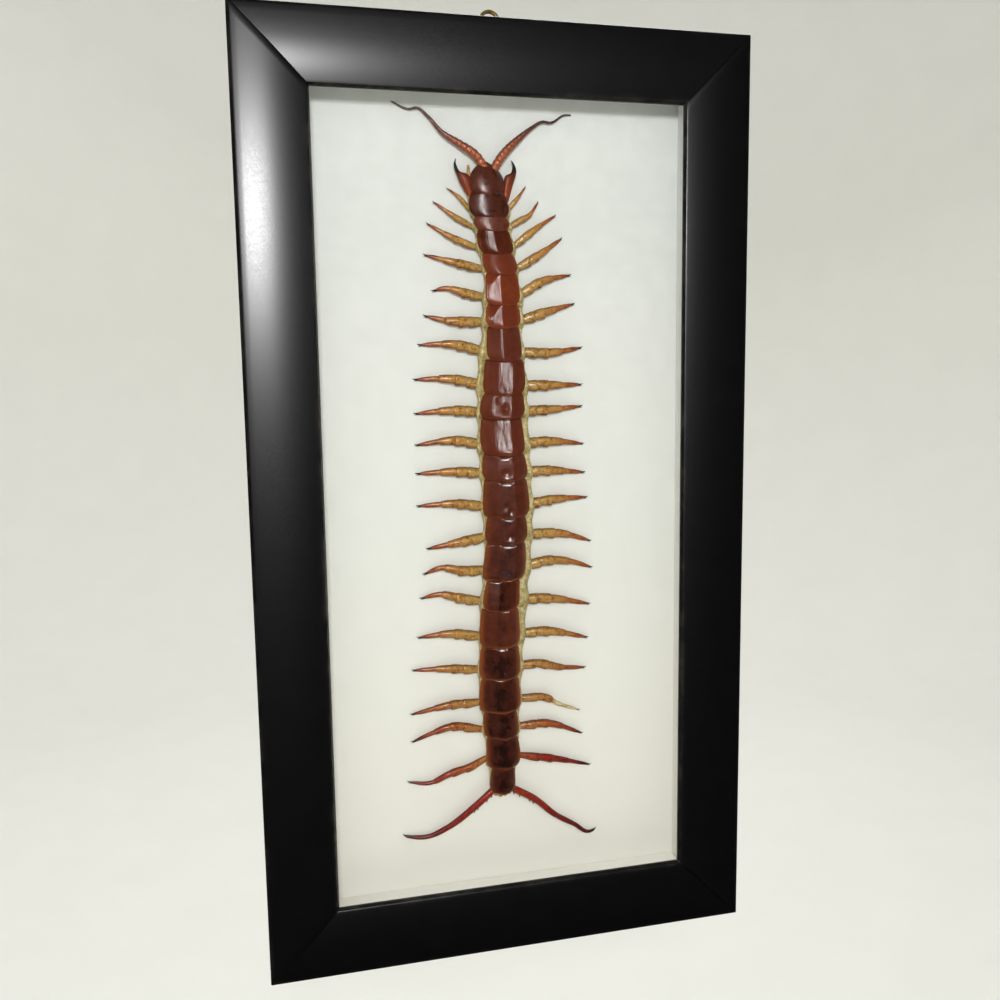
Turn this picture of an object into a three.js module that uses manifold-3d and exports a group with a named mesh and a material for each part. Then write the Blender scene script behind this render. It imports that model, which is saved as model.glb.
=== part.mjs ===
// A giant centipede, dried and mounted in a glazed wooden frame that hangs on a wall.
// Millimetres. +X is the viewer's right, the glass faces -Y and +Z is up.
// The origin is the centre of the back panel's rear face, so the wall is the plane y = 0.

import * as THREE from 'three';
import { mergeVertices } from 'three/addons/utils/BufferGeometryUtils.js';
import Module from 'manifold-3d';

const wasm = await Module();
wasm.setup();

// Frame
const frameWidth = 193;
const frameHeight = 355;
const railDepth = 24;
const panelThickness = 2.8;
const seatGap = 0.2; // between layers that lie on each other
const frameDepth = railDepth + seatGap + panelThickness;

// Moulding section, measured inwards from the outer edge and backwards from the crown of the face
const faceWidth = 26.7;
const outerDrop = 0.5; // how far the face falls back from its crown to the outer edge and to the lip
const innerDrop = 1.5;
const crownShare = 0.42; // where the crown is, as a share of the face
const outerRound = 1.7;
const lipBevelWidth = 0.9;
const lipEdgeDepth = 2.75;
const lipThickness = 3.25;
const rebateWidth = 6;
const mitreGap = 0.15;
const faceSegments = 6;

// Layers behind the lip
const edgeGap = 0.4;
const glassThickness = 2;
const linerThickness = 1.5;
const linerEndGap = 0.3;
const boardFront = 18.2;
const glassFront = lipThickness + seatGap;
const linerFront = glassFront + glassThickness + seatGap;

// Back panel and its screws
const panelInset = 6;
const panelScrewHeights = [140, 0, -140];
const panelScrew = { headRadius: 2.9, headHeight: 1.7, shankRadius: 1.4, length: 13, countersunk: true };
const screwHeadRecess = 0.1;
const screwClearance = 0.25;
const holeMouth = 2;
const screwSides = 10;
const panTopShare = 0.7; // radius of a pan head's flat top, as a share of the head's
const panSideShare = 0.45; // depth at which a pan head reaches its full radius
const slotWidth = 0.6;
const slotDepth = 0.6;

// Hanging plate, let into a notch in the back panel
const plateWidth = 13;
const plateThickness = 1.4;
const plateFoot = 157.6;
const plateShoulder = 172;
const plateCorner = 2;
const plateScrewHeights = [161.2, 168.4];
const plateScrew = { headRadius: 2.3, headHeight: 1.1, shankRadius: 1.2, length: 12, countersunk: false };
const eyeRise = 5.7;
const eyeOuterRadius = 4.2;
const eyeInnerRadius = 3.05;
const neckWidth = 5;
const plateBevel = 0.25;
const plateArcSegments = 8;
const notchMargin = 0.6;

// Centipede. Heights are above the backing board, and places are [across, up] in the plane of the frame.
const bellyGap = 0.1;
const softHeight = 2.5; // of the soft sides where they are widest
const bodyTopHeight = 7.2;
const neckThinning = 0.35; // loss of height over the first quarter of the body and over the last fifth
const neckShare = 0.25;
const tailThinning = 0.3;
const tailShare = 0.8;
const plateArch = 0.7; // power of the back plates' arch: a lower one is flatter on top
const bellyShare = 0.88; // width of the belly against the soft sides
const bellyFullness = 1.7; // how soon the underside comes down to the belly
const bodySides = 12;
const bodyFront = 117.7; // height in the frame where the head meets the first back plate
// Back plates from head to tail: length, half width and middle across
const backPlates = [
  [8, 7.7, -4], [5, 7, -3], [8.5, 6.8, -1.9], [7.5, 6.7, 0], [11.5, 6.8, 0.7], [8.5, 6.9, 0.8],
  [12.5, 6.9, 1.1], [13, 8.2, 1.2], [9, 8.8, 0.2], [14, 8.6, 0], [10, 8.9, 0.8], [14.5, 9.2, 1.2],
  [10.5, 8.4, 1.1], [14.5, 8.5, 0.4], [12, 7.5, -1.4], [15, 8.1, -2.1], [13, 8.3, -2.3],
  [13.5, 8.4, -2.5], [11, 7.2, -2.2], [12.5, 7, -1.4], [11.5, 5.3, -1.9],
];
// Sections of a back plate: shares of its length, height and width. The front dips below the plate before.
const plateSections = [[0.07, 0.9, 0.92], [0.62, 1, 1], [0.985, 0.98, 0.93]];
const tailEnd = { reach: 1.2, half: 3.4, top: 4.6 };
// Head from rear to front: share of its length, half width and height
const headLength = 12.2;
const headFrontMiddle = -5;
const headSections = [
  [0.06, 5.6, 6.4], [0.25, 6.6, 6.3], [0.55, 6.6, 6], [0.79, 4.9, 5.4], [0.95, 2.6, 4.6], [1.02, 1.4, 3.7],
];
// Soft sides from tail to head: up, left edge and right edge
const softSides = [
  [-119, -4.6, 2.2], [-113, -6.7, 4.3], [-102, -7.9, 6.3], [-90, -9.3, 6.2], [-77, -10.5, 6.9],
  [-63, -10.8, 7.5], [-51, -10.1, 8.3], [-41, -9.9, 9.7], [-31, -8.8, 10.4], [-20, -7.5, 11.5],
  [-5, -8.2, 12.5], [10, -8.8, 12.1], [26, -9.6, 11.2], [41, -9.6, 10.9], [55, -9, 9.9], [65, -7.6, 8.9],
  [75, -7.1, 9.4], [88, -6, 7.8], [98, -8.4, 6.2], [109, -10.2, 4.5], [118, -11, 3.6],
];

// Limbs, with heights and radii at even steps from root to tip
const limbFlatness = 0.88; // height of a limb's section against its width
const legRoot = 0.73; // where a leg leaves its segment, as a share of the back plate's length
const legRootReach = 5; // from the body's middle
const legHeights = [2.2, 2.5, 2.4, 1.7, 0.8];
const legRadii = [2, 2.05, 1.75, 1.2, 0.85, 0.15];
const legFrontSizes = [0.55, 0.66, 0.82, 0.93]; // the first legs are slimmer
const legStations = 6;
const legSides = 5;
const lastLegHeights = [3.2, 3.4, 3, 2.4, 1.6, 0.8];
const lastLegRadii = [1.6, 1.5, 1.3, 0.9, 0.2];
const lastLegStations = 9;
const antennaHeights = [3.6, 3.4, 2.8, 2.2, 1.6, 1.2];
const antennaRadii = [1.6, 1.3, 0.8, 0.45, 0.2];
const antennaStations = 11;
const longLimbSides = 6;
const fangHeight = 2.8;
const fangFlatness = 0.55;
const fangSides = 8;

// Each leg's bends and tip, front leg first
const leftLegs = [
  [[-15, 117], [-19.5, 120.5]], [[-17, 110], [-25, 115.5]], [[-17.5, 102], [-27.5, 107.5]],
  [[-17, 93], [-29, 96]], [[-12.5, 81.5], [-21, 83.5], [-26, 82.5]], [[-20.5, 71.5], [-29.5, 73.5]],
  [[-18, 62.5], [-32, 62.5]], [[-19.5, 49.5], [-34, 49.5]], [[-20, 37.5], [-34, 36.5]],
  [[-19, 26], [-34, 24.5]], [[-20.5, 14], [-34, 13.5]], [[-19, 1.5], [-34, 1]],
  [[-16, -13.5], [-30.5, -16]], [[-17, -25], [-24.5, -23.5], [-32, -26]],
  [[-17.5, -36], [-25.5, -34], [-33.5, -35.5]], [[-22, -50], [-35, -51]], [[-24, -64], [-37.5, -64]],
  [[-22.5, -79], [-38.5, -82]], [[-23, -88], [-30, -90], [-38.5, -93.5]],
  [[-14.5, -105.5], [-23.5, -107.5], [-31, -110.5], [-40.5, -109.5]],
];
const rightLegs = [
  [[7.5, 117], [11.5, 122]], [[10.5, 109.5], [16.5, 116.5]], [[14, 105.5], [23.5, 111.5]],
  [[15.5, 96], [26, 103]], [[16.5, 86], [29.5, 89]], [[18, 74.5], [31, 78]], [[19, 59], [34, 61]],
  [[19.5, 46.5], [34, 46.5]], [[19.5, 37], [34, 38]], [[21, 24.5], [34.5, 23]], [[20.5, 13], [35, 11.5]],
  [[22, 1.5], [36, 1.5]], [[24.5, -12.5], [37.5, -16.5]], [[20, -23], [27.5, -24], [38, -27.5]],
  [[18.5, -38.5], [37, -42.5]], [[18, -52], [36, -56.5]], [[13.5, -65], [23.5, -67.5], [35, -69]],
  [[18, -80], [22, -82.5], [32.5, -87]], [[17.5, -90.5], [33.5, -97]], [[21, -106], [37, -111]],
];
// Last pair of legs and antennae, root to tip
const lastLegs = [
  [[-3.5, -114], [-14, -122.5], [-24, -129.5], [-33, -133], [-39.5, -132.5], [-43, -131.5]],
  [[-1, -114], [12.5, -122.5], [20, -129.5], [29, -135.5], [36, -140], [39.5, -139]],
];
const antennae = [
  [[-5, 127], [-8, 131.5], [-14.5, 136], [-21, 140], [-26, 145.5], [-30, 148.5], [-33, 148], [-39.5, 150.5]],
  [[-2, 127], [1, 131.5], [8.5, 139], [13.5, 143], [18, 145.5], [21, 145.3], [27, 148.5], [29.5, 148.6]],
];
// Fangs from root to tip: left and right edge
const fangs = [
  [
    [[-11.1, 116.3], [-9, 116.4]], [[-13, 119.3], [-9, 118.9]], [[-14.5, 121.8], [-9.5, 121.5]],
    [[-15.6, 124.3], [-10.4, 124.2]], [[-16.1, 125.6], [-12, 125.4]], [[-16.5, 126.4], [-14.6, 126.2]],
    [[-16.9, 128.1], [-15.7, 128.1]], [[-16.8, 129.4], [-16.1, 129.4]], [[-16.2, 130.8], [-16, 130.7]],
  ],
  [
    [[1.5, 116.2], [3.9, 115.7]], [[1.8, 119.3], [5, 119.3]], [[2.1, 122.3], [5.9, 122.2]],
    [[2.6, 124.7], [6.7, 124.5]], [[3.6, 125.6], [7, 125.6]], [[5, 126.2], [7.2, 126.6]],
    [[5.6, 127.9], [7, 128]], [[5.5, 129.4], [6.3, 129.6]], [[5, 130.8], [5.2, 130.9]],
  ],
];

// Finishes
const blackPaint = new THREE.MeshStandardMaterial({ color: 0x16161a, roughness: 0.42, metalness: 0 });
const pictureGlass = new THREE.MeshStandardMaterial({
  color: 0xf2f7f4, roughness: 0.03, metalness: 0, transparent: true, opacity: 0.2,
});
const whiteCard = new THREE.MeshStandardMaterial({ color: 0xe9eae2, roughness: 0.85, metalness: 0 });
const driedCuticle = new THREE.MeshStandardMaterial({ color: 0x5e2112, roughness: 0.3, metalness: 0 });
const hardboard = new THREE.MeshStandardMaterial({ color: 0x7a5534, roughness: 0.8, metalness: 0 });
const brass = new THREE.MeshStandardMaterial({ color: 0xb08d3f, roughness: 0.3, metalness: 1 });
const zincSteel = new THREE.MeshStandardMaterial({ color: 0xb9bcbf, roughness: 0.35, metalness: 1 });

const frontY = -frameDepth;
const innerHalfWidth = frameWidth / 2 - faceWidth + rebateWidth;
const innerHalfHeight = frameHeight / 2 - faceWidth + rebateWidth;
const railBackY = frontY + railDepth;
const boardY = frontY + boardFront;

// Joining and cutting
function positionOnly(geometry) {
  const bare = geometry.clone();
  bare.deleteAttribute('normal');
  bare.deleteAttribute('uv');
  return mergeVertices(bare);
}

function toSolid(geometry) {
  const merged = positionOnly(geometry);
  const mesh = new wasm.Mesh({
    numProp: 3,
    vertProperties: new Float32Array(merged.attributes.position.array),
    triVerts: new Uint32Array(merged.index.array),
  });
  return new wasm.Manifold(mesh);
}

function toGeometry(solid) {
  const mesh = solid.getMesh();
  const geometry = new THREE.BufferGeometry();
  geometry.setAttribute('position', new THREE.BufferAttribute(mesh.vertProperties, mesh.numProp));
  geometry.setIndex(new THREE.BufferAttribute(mesh.triVerts, 1));
  geometry.computeVertexNormals();
  return geometry;
}

function join(geometries) {
  return toGeometry(geometries.map(toSolid).reduce((whole, next) => whole.add(next)));
}

function cut(geometry, cutters) {
  return toGeometry(cutters.map(toSolid).reduce((rest, cutter) => rest.subtract(cutter), toSolid(geometry)));
}

// A closed box between two corners
function slab(low, high) {
  const size = new THREE.Vector3().subVectors(high, low);
  const geometry = new THREE.BoxGeometry(size.x, size.y, size.z);
  const middle = new THREE.Vector3().addVectors(low, high).multiplyScalar(0.5);
  geometry.translate(middle.x, middle.y, middle.z);
  return geometry;
}

// A closed tube whose stations are placed one by one: place(station, across, raise) gives a point,
// with across and raise running over a unit disc
function tube(stations, sides, place) {
  const last = stations - 1;
  const geometry = new THREE.CylinderGeometry(1, 1, last, sides, last);
  const position = geometry.attributes.position;
  for (let i = 0; i < position.count; i++) {
    const station = Math.round(position.getY(i) + last / 2);
    const point = place(station, position.getX(i), position.getZ(i));
    position.setXYZ(i, point.x, point.y, point.z);
  }
  return geometry;
}

// Moulding: the section runs from the outer back corner over the face and lip to the rebate
function mouldingSection() {
  const faceEnd = faceWidth - lipBevelWidth;
  const crown = crownShare * faceEnd;
  const section = new THREE.Shape();
  section.moveTo(0, railDepth);
  section.lineTo(0, outerDrop + outerRound);
  section.quadraticCurveTo(0, outerDrop, outerRound, outerDrop * (1 - outerRound / crown) ** 2);
  section.quadraticCurveTo((outerRound + crown) / 2, 0, crown, 0);
  section.quadraticCurveTo((crown + faceEnd) / 2, 0, faceEnd, innerDrop);
  section.lineTo(faceWidth, lipEdgeDepth);
  section.lineTo(faceWidth, lipThickness);
  section.lineTo(faceWidth - rebateWidth, lipThickness);
  section.lineTo(faceWidth - rebateWidth, railDepth);
  return section;
}

// One mitred length with its outer edge at z = 0 and its middle at x = 0
function mouldingLength(length) {
  const geometry = new THREE.ExtrudeGeometry(mouldingSection(), {
    depth: length, bevelEnabled: false, curveSegments: faceSegments,
  });
  const position = geometry.attributes.position;
  for (let i = 0; i < position.count; i++) {
    const inward = position.getX(i);
    const backward = position.getY(i);
    const end = position.getZ(i) > length / 2 ? 1 : -1;
    position.setXYZ(i, end * (length / 2 - mitreGap - inward), frontY + backward, -inward);
  }
  return geometry;
}

// Screws lie along y with the head at the back. A hole is the same outline made larger by extra and carried
// on past the head by mouth.
function screwProfile({ headRadius, headHeight, shankRadius, length, countersunk }, extra = 0, mouth = 0) {
  const corners = [[0, mouth]];
  if (countersunk || mouth > 0) {
    corners.push([headRadius + extra, mouth]);
  } else {
    corners.push([headRadius * panTopShare, 0]);
    corners.push([headRadius, -headHeight * panSideShare]);
  }
  if (!countersunk) {
    corners.push([headRadius + extra, -headHeight - extra]);
  } else if (mouth > 0) {
    corners.push([headRadius + extra, 0]);
  }
  corners.push([shankRadius + extra, -headHeight - extra]);
  corners.push([shankRadius + extra, -length + 2 * shankRadius]);
  corners.push([0, -length - extra]);
  return corners.reverse().map(([radius, height]) => new THREE.Vector2(radius, height));
}

function screw(size) {
  const turned = new THREE.LatheGeometry(screwProfile(size), screwSides);
  const slot = new THREE.BoxGeometry(3 * size.headRadius, 2 * slotDepth, slotWidth);
  return cut(turned, [slot]);
}

function screwHole(size, headY, x, z) {
  const hole = new THREE.LatheGeometry(screwProfile(size, screwClearance, holeMouth), screwSides);
  hole.translate(x, headY, z);
  return hole;
}

// Hanging plate: a foot with two screw holes, a neck and a round eye
function platePath() {
  const half = plateWidth / 2;
  const eyeCentre = frameHeight / 2 + eyeRise;
  const neckTurn = Math.asin(neckWidth / 2 / eyeOuterRadius);
  const shape = new THREE.Shape();
  shape.moveTo(-half + plateCorner, plateFoot);
  shape.lineTo(half - plateCorner, plateFoot);
  shape.quadraticCurveTo(half, plateFoot, half, plateFoot + plateCorner);
  shape.lineTo(half, plateShoulder - plateCorner);
  shape.quadraticCurveTo(half, plateShoulder, neckWidth / 2, plateShoulder + plateCorner);
  shape.absarc(0, eyeCentre, eyeOuterRadius, -Math.PI / 2 + neckTurn, 1.5 * Math.PI - neckTurn);
  shape.lineTo(-neckWidth / 2, plateShoulder + plateCorner);
  shape.quadraticCurveTo(-half, plateShoulder, -half, plateShoulder - plateCorner);
  shape.lineTo(-half, plateFoot + plateCorner);
  shape.quadraticCurveTo(-half, plateFoot, -half + plateCorner, plateFoot);
  const holes = plateScrewHeights.map((height) => [height, plateScrew.shankRadius + screwClearance]);
  holes.push([eyeCentre, eyeInnerRadius]);
  for (const [height, radius] of holes) {
    const hole = new THREE.Path();
    hole.absarc(0, height, radius, 0, 2 * Math.PI, true);
    shape.holes.push(hole);
  }
  return shape;
}

function hangingPlate() {
  const geometry = new THREE.ExtrudeGeometry(platePath(), {
    depth: plateThickness - 2 * plateBevel, curveSegments: plateArcSegments, bevelEnabled: true,
    bevelSegments: 1, bevelSize: plateBevel, bevelThickness: plateBevel, bevelOffset: -plateBevel,
  });
  geometry.rotateX(Math.PI / 2);
  geometry.translate(0, railBackY + seatGap + plateThickness - plateBevel, 0);
  return geometry;
}

// Value at a share of the way along an evenly spaced list
function along(list, share) {
  const place = THREE.MathUtils.clamp(share, 0, 1) * (list.length - 1);
  const before = Math.min(Math.floor(place), list.length - 2);
  return THREE.MathUtils.lerp(list[before], list[before + 1], place - before);
}

// A smooth curve through rows of a height and the values there, lowest row first
function curveThrough(rows) {
  const heights = rows.map(([up]) => up);
  const values = rows.flatMap(([, ...others]) => others);
  return new THREE.CubicInterpolant(heights, values, values.length / heights.length);
}

// Where each back plate starts, and where the body's middle and its soft sides are at a height in the frame
const bodyLength = backPlates.reduce((sum, [length]) => sum + length, 0);
const plateFronts = [];
let nextFront = bodyFront;
for (const [length] of backPlates) {
  plateFronts.push(nextFront);
  nextFront -= length;
}
const middles = backPlates.map(([length, , middle], index) => [plateFronts[index] - length / 2, middle]);
middles.unshift([bodyFront + headLength, headFrontMiddle]);
const middleCurve = curveThrough(middles.reverse());
const softCurve = curveThrough(softSides);
function bodyAcross(up) {
  return middleCurve.evaluate(up)[0];
}

// Loss of height towards the head and the tail
function thinning(up) {
  const run = (bodyFront - up) / bodyLength;
  return 1 - tailThinning * Math.max(0, run - tailShare) - neckThinning * Math.max(0, neckShare - run);
}

// A station of the body: up, half width of the back plate, edges of the soft sides and top height
function bodyStation(up, half, top, softLeft = Infinity, softRight = -Infinity) {
  const left = Math.min(softLeft, bodyAcross(up) - half);
  const right = Math.max(softRight, bodyAcross(up) + half);
  return { up, half, left, right, top };
}

// Stations from tail to head
function bodyStations() {
  const stations = [];
  backPlates.forEach(([length, halfWidth], index) => {
    for (const [share, rise, spread] of plateSections) {
      const up = plateFronts[index] - share * length;
      const top = bodyTopHeight * rise * thinning(up);
      stations.push(bodyStation(up, halfWidth * spread, top, ...softCurve.evaluate(up)));
    }
  });
  stations.push(bodyStation(bodyFront - bodyLength - tailEnd.reach, tailEnd.half, tailEnd.top));
  for (const [share, half, top] of headSections) {
    stations.unshift(bodyStation(bodyFront + share * headLength, half, top));
  }
  return stations.reverse();
}

function bodyTube() {
  const stations = bodyStations();
  const plateEdge = Math.cos(Math.PI / 6); // a back plate's side edge is 30 degrees above the soft sides
  const level = Math.sin(Math.PI / 12); // points less raised than this are on the soft sides
  return tube(stations.length, bodySides, (index, across, raise) => {
    const { up, half, left, right, top } = stations[index];
    const spread = Math.min(1, Math.abs(across) / plateEdge) * Math.sign(across);
    const middle = bodyAcross(up);
    const soft = across > 0 ? right - middle : middle - left;
    if (raise > level) {
      return onBoard([middle + spread * half, up], softHeight + (top - softHeight) * raise ** plateArch);
    }
    if (raise < -level) {
      const height = softHeight - (softHeight - bellyGap) * Math.min(1, bellyFullness * -raise);
      return onBoard([middle + spread * soft * bellyShare, up], height);
    }
    return onBoard([middle + spread * soft, up], softHeight);
  });
}

function onBoard([across, up], height) {
  return new THREE.Vector3(across, boardY - height, up);
}

// A limb through a route of places, with its height and radius given at even steps
function limb(places, heights, radii, stations, sides) {
  const points = places.map((point, index) => onBoard(point, along(heights, index / (places.length - 1))));
  const curve = new THREE.CatmullRomCurve3(points);
  const outward = new THREE.Vector3(0, -1, 0);
  return tube(stations, sides, (index, across, raise) => {
    const share = index / (stations - 1);
    const tangent = curve.getTangentAt(share);
    const side = new THREE.Vector3().crossVectors(tangent, outward).normalize();
    const lift = new THREE.Vector3().crossVectors(side, tangent);
    const radius = along(radii, share);
    const point = curve.getPointAt(share).addScaledVector(side, across * radius);
    return point.addScaledVector(lift, raise * radius * limbFlatness);
  });
}

function walkingLegs(bends, side) {
  return bends.map((places, index) => {
    const rootUp = plateFronts[index] - legRoot * backPlates[index][0];
    const root = [bodyAcross(rootUp) + side * legRootReach, rootUp];
    const size = legFrontSizes[index] ?? 1;
    const radii = legRadii.map((radius) => radius * size);
    return limb([root, ...places], legHeights, radii, legStations, legSides);
  });
}

// A fang given by its two edges, with its thickness a share of its width
function fang(edges) {
  return tube(edges.length, fangSides, (index, across, raise) => {
    const [left, right] = edges[index].map((point) => onBoard(point, fangHeight));
    const reach = new THREE.Vector3().subVectors(right, left).multiplyScalar(0.5);
    const point = left.add(reach).addScaledVector(reach, across);
    point.y -= raise * reach.length() * fangFlatness;
    return point;
  });
}

function centipede() {
  const parts = [bodyTube(), ...walkingLegs(leftLegs, -1), ...walkingLegs(rightLegs, 1), ...fangs.map(fang)];
  for (const places of lastLegs) {
    parts.push(limb(places, lastLegHeights, lastLegRadii, lastLegStations, longLimbSides));
  }
  for (const places of antennae) {
    parts.push(limb(places, antennaHeights, antennaRadii, antennaStations, longLimbSides));
  }
  return join(parts);
}

// Assembly
const specimen = new THREE.Group();

function place(parent, name, geometry, material) {
  const mesh = new THREE.Mesh(geometry, material);
  mesh.name = name;
  parent.add(mesh);
  return mesh;
}

function panelScrewPlaces() {
  const across = frameWidth / 2 - (faceWidth - rebateWidth) / 2;
  return panelScrewHeights.flatMap((height) => [[-across, height], [across, height]]);
}

const panelHoles = panelScrewPlaces().map(([x, z]) => screwHole(panelScrew, -screwHeadRecess, x, z));
const plateHeadY = railBackY + seatGap + plateThickness + seatGap + plateScrew.headHeight;
const plateHoles = plateScrewHeights.map((z) => screwHole(plateScrew, plateHeadY, 0, z));

const moulding = new THREE.Group();
specimen.add(moulding);
const sides = [
  ['rail_top', frameWidth, frameHeight / 2, 0],
  ['stile_right', frameHeight, frameWidth / 2, Math.PI / 2],
  ['rail_bottom', frameWidth, frameHeight / 2, Math.PI],
  ['stile_left', frameHeight, frameWidth / 2, -Math.PI / 2],
];
for (const [name, length, reach, turn] of sides) {
  const holes = name.startsWith('stile') ? panelHoles : plateHoles;
  const blank = mouldingLength(length);
  blank.translate(0, 0, reach);
  blank.rotateY(turn);
  place(moulding, name, name === 'rail_bottom' ? blank : cut(blank, holes), blackPaint);
}

const paneHalfWidth = innerHalfWidth - edgeGap;
const paneHalfHeight = innerHalfHeight - edgeGap;
function layer(front, back) {
  return slab(
    new THREE.Vector3(-paneHalfWidth, frontY + front, -paneHalfHeight),
    new THREE.Vector3(paneHalfWidth, frontY + back, paneHalfHeight));
}
place(specimen, 'glass_pane', layer(glassFront, glassFront + glassThickness), pictureGlass);
place(specimen, 'backing_board', layer(boardFront, railDepth - seatGap), whiteCard);

const liners = new THREE.Group();
specimen.add(liners);
const linerBack = frontY + boardFront - seatGap;
for (const side of [-1, 1]) {
  const upright = slab(
    new THREE.Vector3(paneHalfWidth - linerThickness, frontY + linerFront, -paneHalfHeight),
    new THREE.Vector3(paneHalfWidth, linerBack, paneHalfHeight));
  upright.translate(side < 0 ? linerThickness - 2 * paneHalfWidth : 0, 0, 0);
  place(liners, side < 0 ? 'liner_left' : 'liner_right', upright, whiteCard);
  const endHalf = paneHalfWidth - linerThickness - linerEndGap;
  const level = slab(
    new THREE.Vector3(-endHalf, frontY + linerFront, paneHalfHeight - linerThickness),
    new THREE.Vector3(endHalf, linerBack, paneHalfHeight));
  level.translate(0, 0, side < 0 ? linerThickness - 2 * paneHalfHeight : 0);
  place(liners, side < 0 ? 'liner_bottom' : 'liner_top', level, whiteCard);
}

place(specimen, 'centipede', centipede(), driedCuticle);

const panelHalfWidth = frameWidth / 2 - panelInset;
const panelHalfHeight = frameHeight / 2 - panelInset;
const panelBlank = slab(
  new THREE.Vector3(-panelHalfWidth, -panelThickness, -panelHalfHeight),
  new THREE.Vector3(panelHalfWidth, 0, panelHalfHeight));
const notch = slab(
  new THREE.Vector3(-plateWidth / 2 - notchMargin, -2 * panelThickness, plateFoot - notchMargin),
  new THREE.Vector3(plateWidth / 2 + notchMargin, panelThickness, frameHeight / 2));
place(specimen, 'back_panel', cut(panelBlank, [notch, ...panelHoles]), hardboard);

panelScrewPlaces().forEach(([x, z], index) => {
  const mesh = place(specimen, `panel_screw_${index + 1}`, screw(panelScrew), zincSteel);
  mesh.position.set(x, -screwHeadRecess, z);
});

const hanger = new THREE.Group();
specimen.add(hanger);
place(hanger, 'hanging_plate', hangingPlate(), brass);
plateScrewHeights.forEach((height, index) => {
  const mesh = place(hanger, `plate_screw_${index + 1}`, screw(plateScrew), brass);
  mesh.position.set(0, plateHeadY, height);
});

export default specimen;
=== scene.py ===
import math
from functools import partial

import bpy
import numpy as np
from mathutils import Matrix, Quaternion, Vector, noise


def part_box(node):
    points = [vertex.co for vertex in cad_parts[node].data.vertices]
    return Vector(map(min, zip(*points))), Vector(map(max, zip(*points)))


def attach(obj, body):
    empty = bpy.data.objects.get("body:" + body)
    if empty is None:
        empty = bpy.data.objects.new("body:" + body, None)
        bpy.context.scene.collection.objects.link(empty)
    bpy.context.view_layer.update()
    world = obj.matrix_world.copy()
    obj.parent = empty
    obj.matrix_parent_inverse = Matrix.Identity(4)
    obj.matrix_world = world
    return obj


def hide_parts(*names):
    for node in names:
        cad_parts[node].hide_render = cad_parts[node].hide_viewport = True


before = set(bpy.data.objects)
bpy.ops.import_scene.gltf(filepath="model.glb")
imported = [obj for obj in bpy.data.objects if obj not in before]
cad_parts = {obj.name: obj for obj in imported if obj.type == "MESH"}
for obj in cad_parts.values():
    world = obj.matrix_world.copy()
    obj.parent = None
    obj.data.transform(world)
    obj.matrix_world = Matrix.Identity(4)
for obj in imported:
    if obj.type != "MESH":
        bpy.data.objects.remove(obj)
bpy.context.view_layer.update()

# A dried giant centipede in a glazed black frame. Sizes are millimetres until Blender takes them.
# +X is the viewer's right, the glass faces -Y, +Z is up and the wall is the plane y = 0.
mm = 0.001
scene = bpy.context.scene


def nodeBox(name):
    return [np.array(corner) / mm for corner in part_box(name)]


# Shared tools for materials

def hexLinear(colour):
    channels = [int(colour[i:i + 2], 16) / 255 for i in (1, 3, 5)]
    return [c / 12.92 if c <= 0.04045 else ((c + 0.055) / 1.055) ** 2.4 for c in channels] + [1.0]


def addNode(tree, kind, inputs=None, stops=None, out=0, feeds=None, **settings):
    # Returns the node's output, and feeds it to the shader's socket where one is named
    node = tree.nodes.new("ShaderNode" + kind)
    for name, value in settings.items():
        setattr(node, name, value)
    for name, value in (inputs or {}).items():
        if isinstance(value, bpy.types.NodeSocket):
            tree.links.new(value, node.inputs[name])
        else:
            node.inputs[name].default_value = value
    if stops:
        elements = node.color_ramp.elements
        while len(elements) < len(stops):
            elements.new(0.5)
        for element, (position, colour) in zip(elements, stops):
            element.position = position
            element.color = hexLinear(colour)
    if feeds:
        tree.links.new(node.outputs[out], tree.nodes["Principled BSDF"].inputs[feeds])
    return node.outputs[out]


def startMaterial(name, values):
    material = bpy.data.materials.new(name)
    material.use_nodes = True
    for socket, value in values.items():
        material.node_tree.nodes["Principled BSDF"].inputs[socket].default_value = value
    add = partial(addNode, material.node_tree)
    return material, add, add("TexCoord", out="Object")


def perSize(size):
    return 1 / (size * mm)  # a texture scale whose features are about this many millimetres


# Shared tools for meshes

def loft(rings):
    rings = np.asarray(rings, float)
    count, sides = rings.shape[:2]
    faces = []
    for ring in range(count - 1):
        for side in range(sides):
            following = (side + 1) % sides
            low, high = ring * sides, (ring + 1) * sides
            faces.append((low + side, low + following, high + following, high + side))
    faces.append(tuple(range(sides))[::-1])
    faces.append(tuple(range((count - 1) * sides, count * sides)))
    return rings.reshape(-1, 3), faces


def makeMesh(name, points, faces, materials, sharpDeg=35):
    mesh = bpy.data.meshes.new(name)
    mesh.from_pydata((np.asarray(points) * mm).tolist(), [], faces)
    for material in materials:
        mesh.materials.append(material)
    mesh.validate()
    mesh.update()
    mesh.shade_smooth()
    mesh.set_sharp_from_angle(angle=math.radians(sharpDeg))
    return mesh


def outward(points, faces):
    # Faces of a closed shell, turned so that they look out
    volume = 0
    for face in faces:
        corners = points[list(face)]
        for second, third in zip(corners[1:], corners[2:]):
            volume += corners[0] @ np.cross(second, third)
    return faces if volume > 0 else [face[::-1] for face in faces]


def addPiece(name, mesh, slot, *nodes):
    piece = bpy.data.objects.new(name, mesh)
    bpy.context.collection.objects.link(piece)
    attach(piece, "root")
    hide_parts(*nodes)
    return piece


def setAttribute(mesh, name, values):
    attribute = mesh.attributes.new(name, "FLOAT", "POINT")
    attribute.data.foreach_set("value", np.asarray(values, np.float32))


def ease(value):
    value = np.clip(value, 0, 1)
    return value * value * (3 - 2 * value)


# Camera at the photograph's viewing angle

camera = {
    "eye": (-97.15, -394.0, 53.85),
    "aim": (-1.7, -15.0, 2.55),
    "rollDeg": -0.83,
    "lens": 36.52,
    "sensor": 36.0,
}


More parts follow.
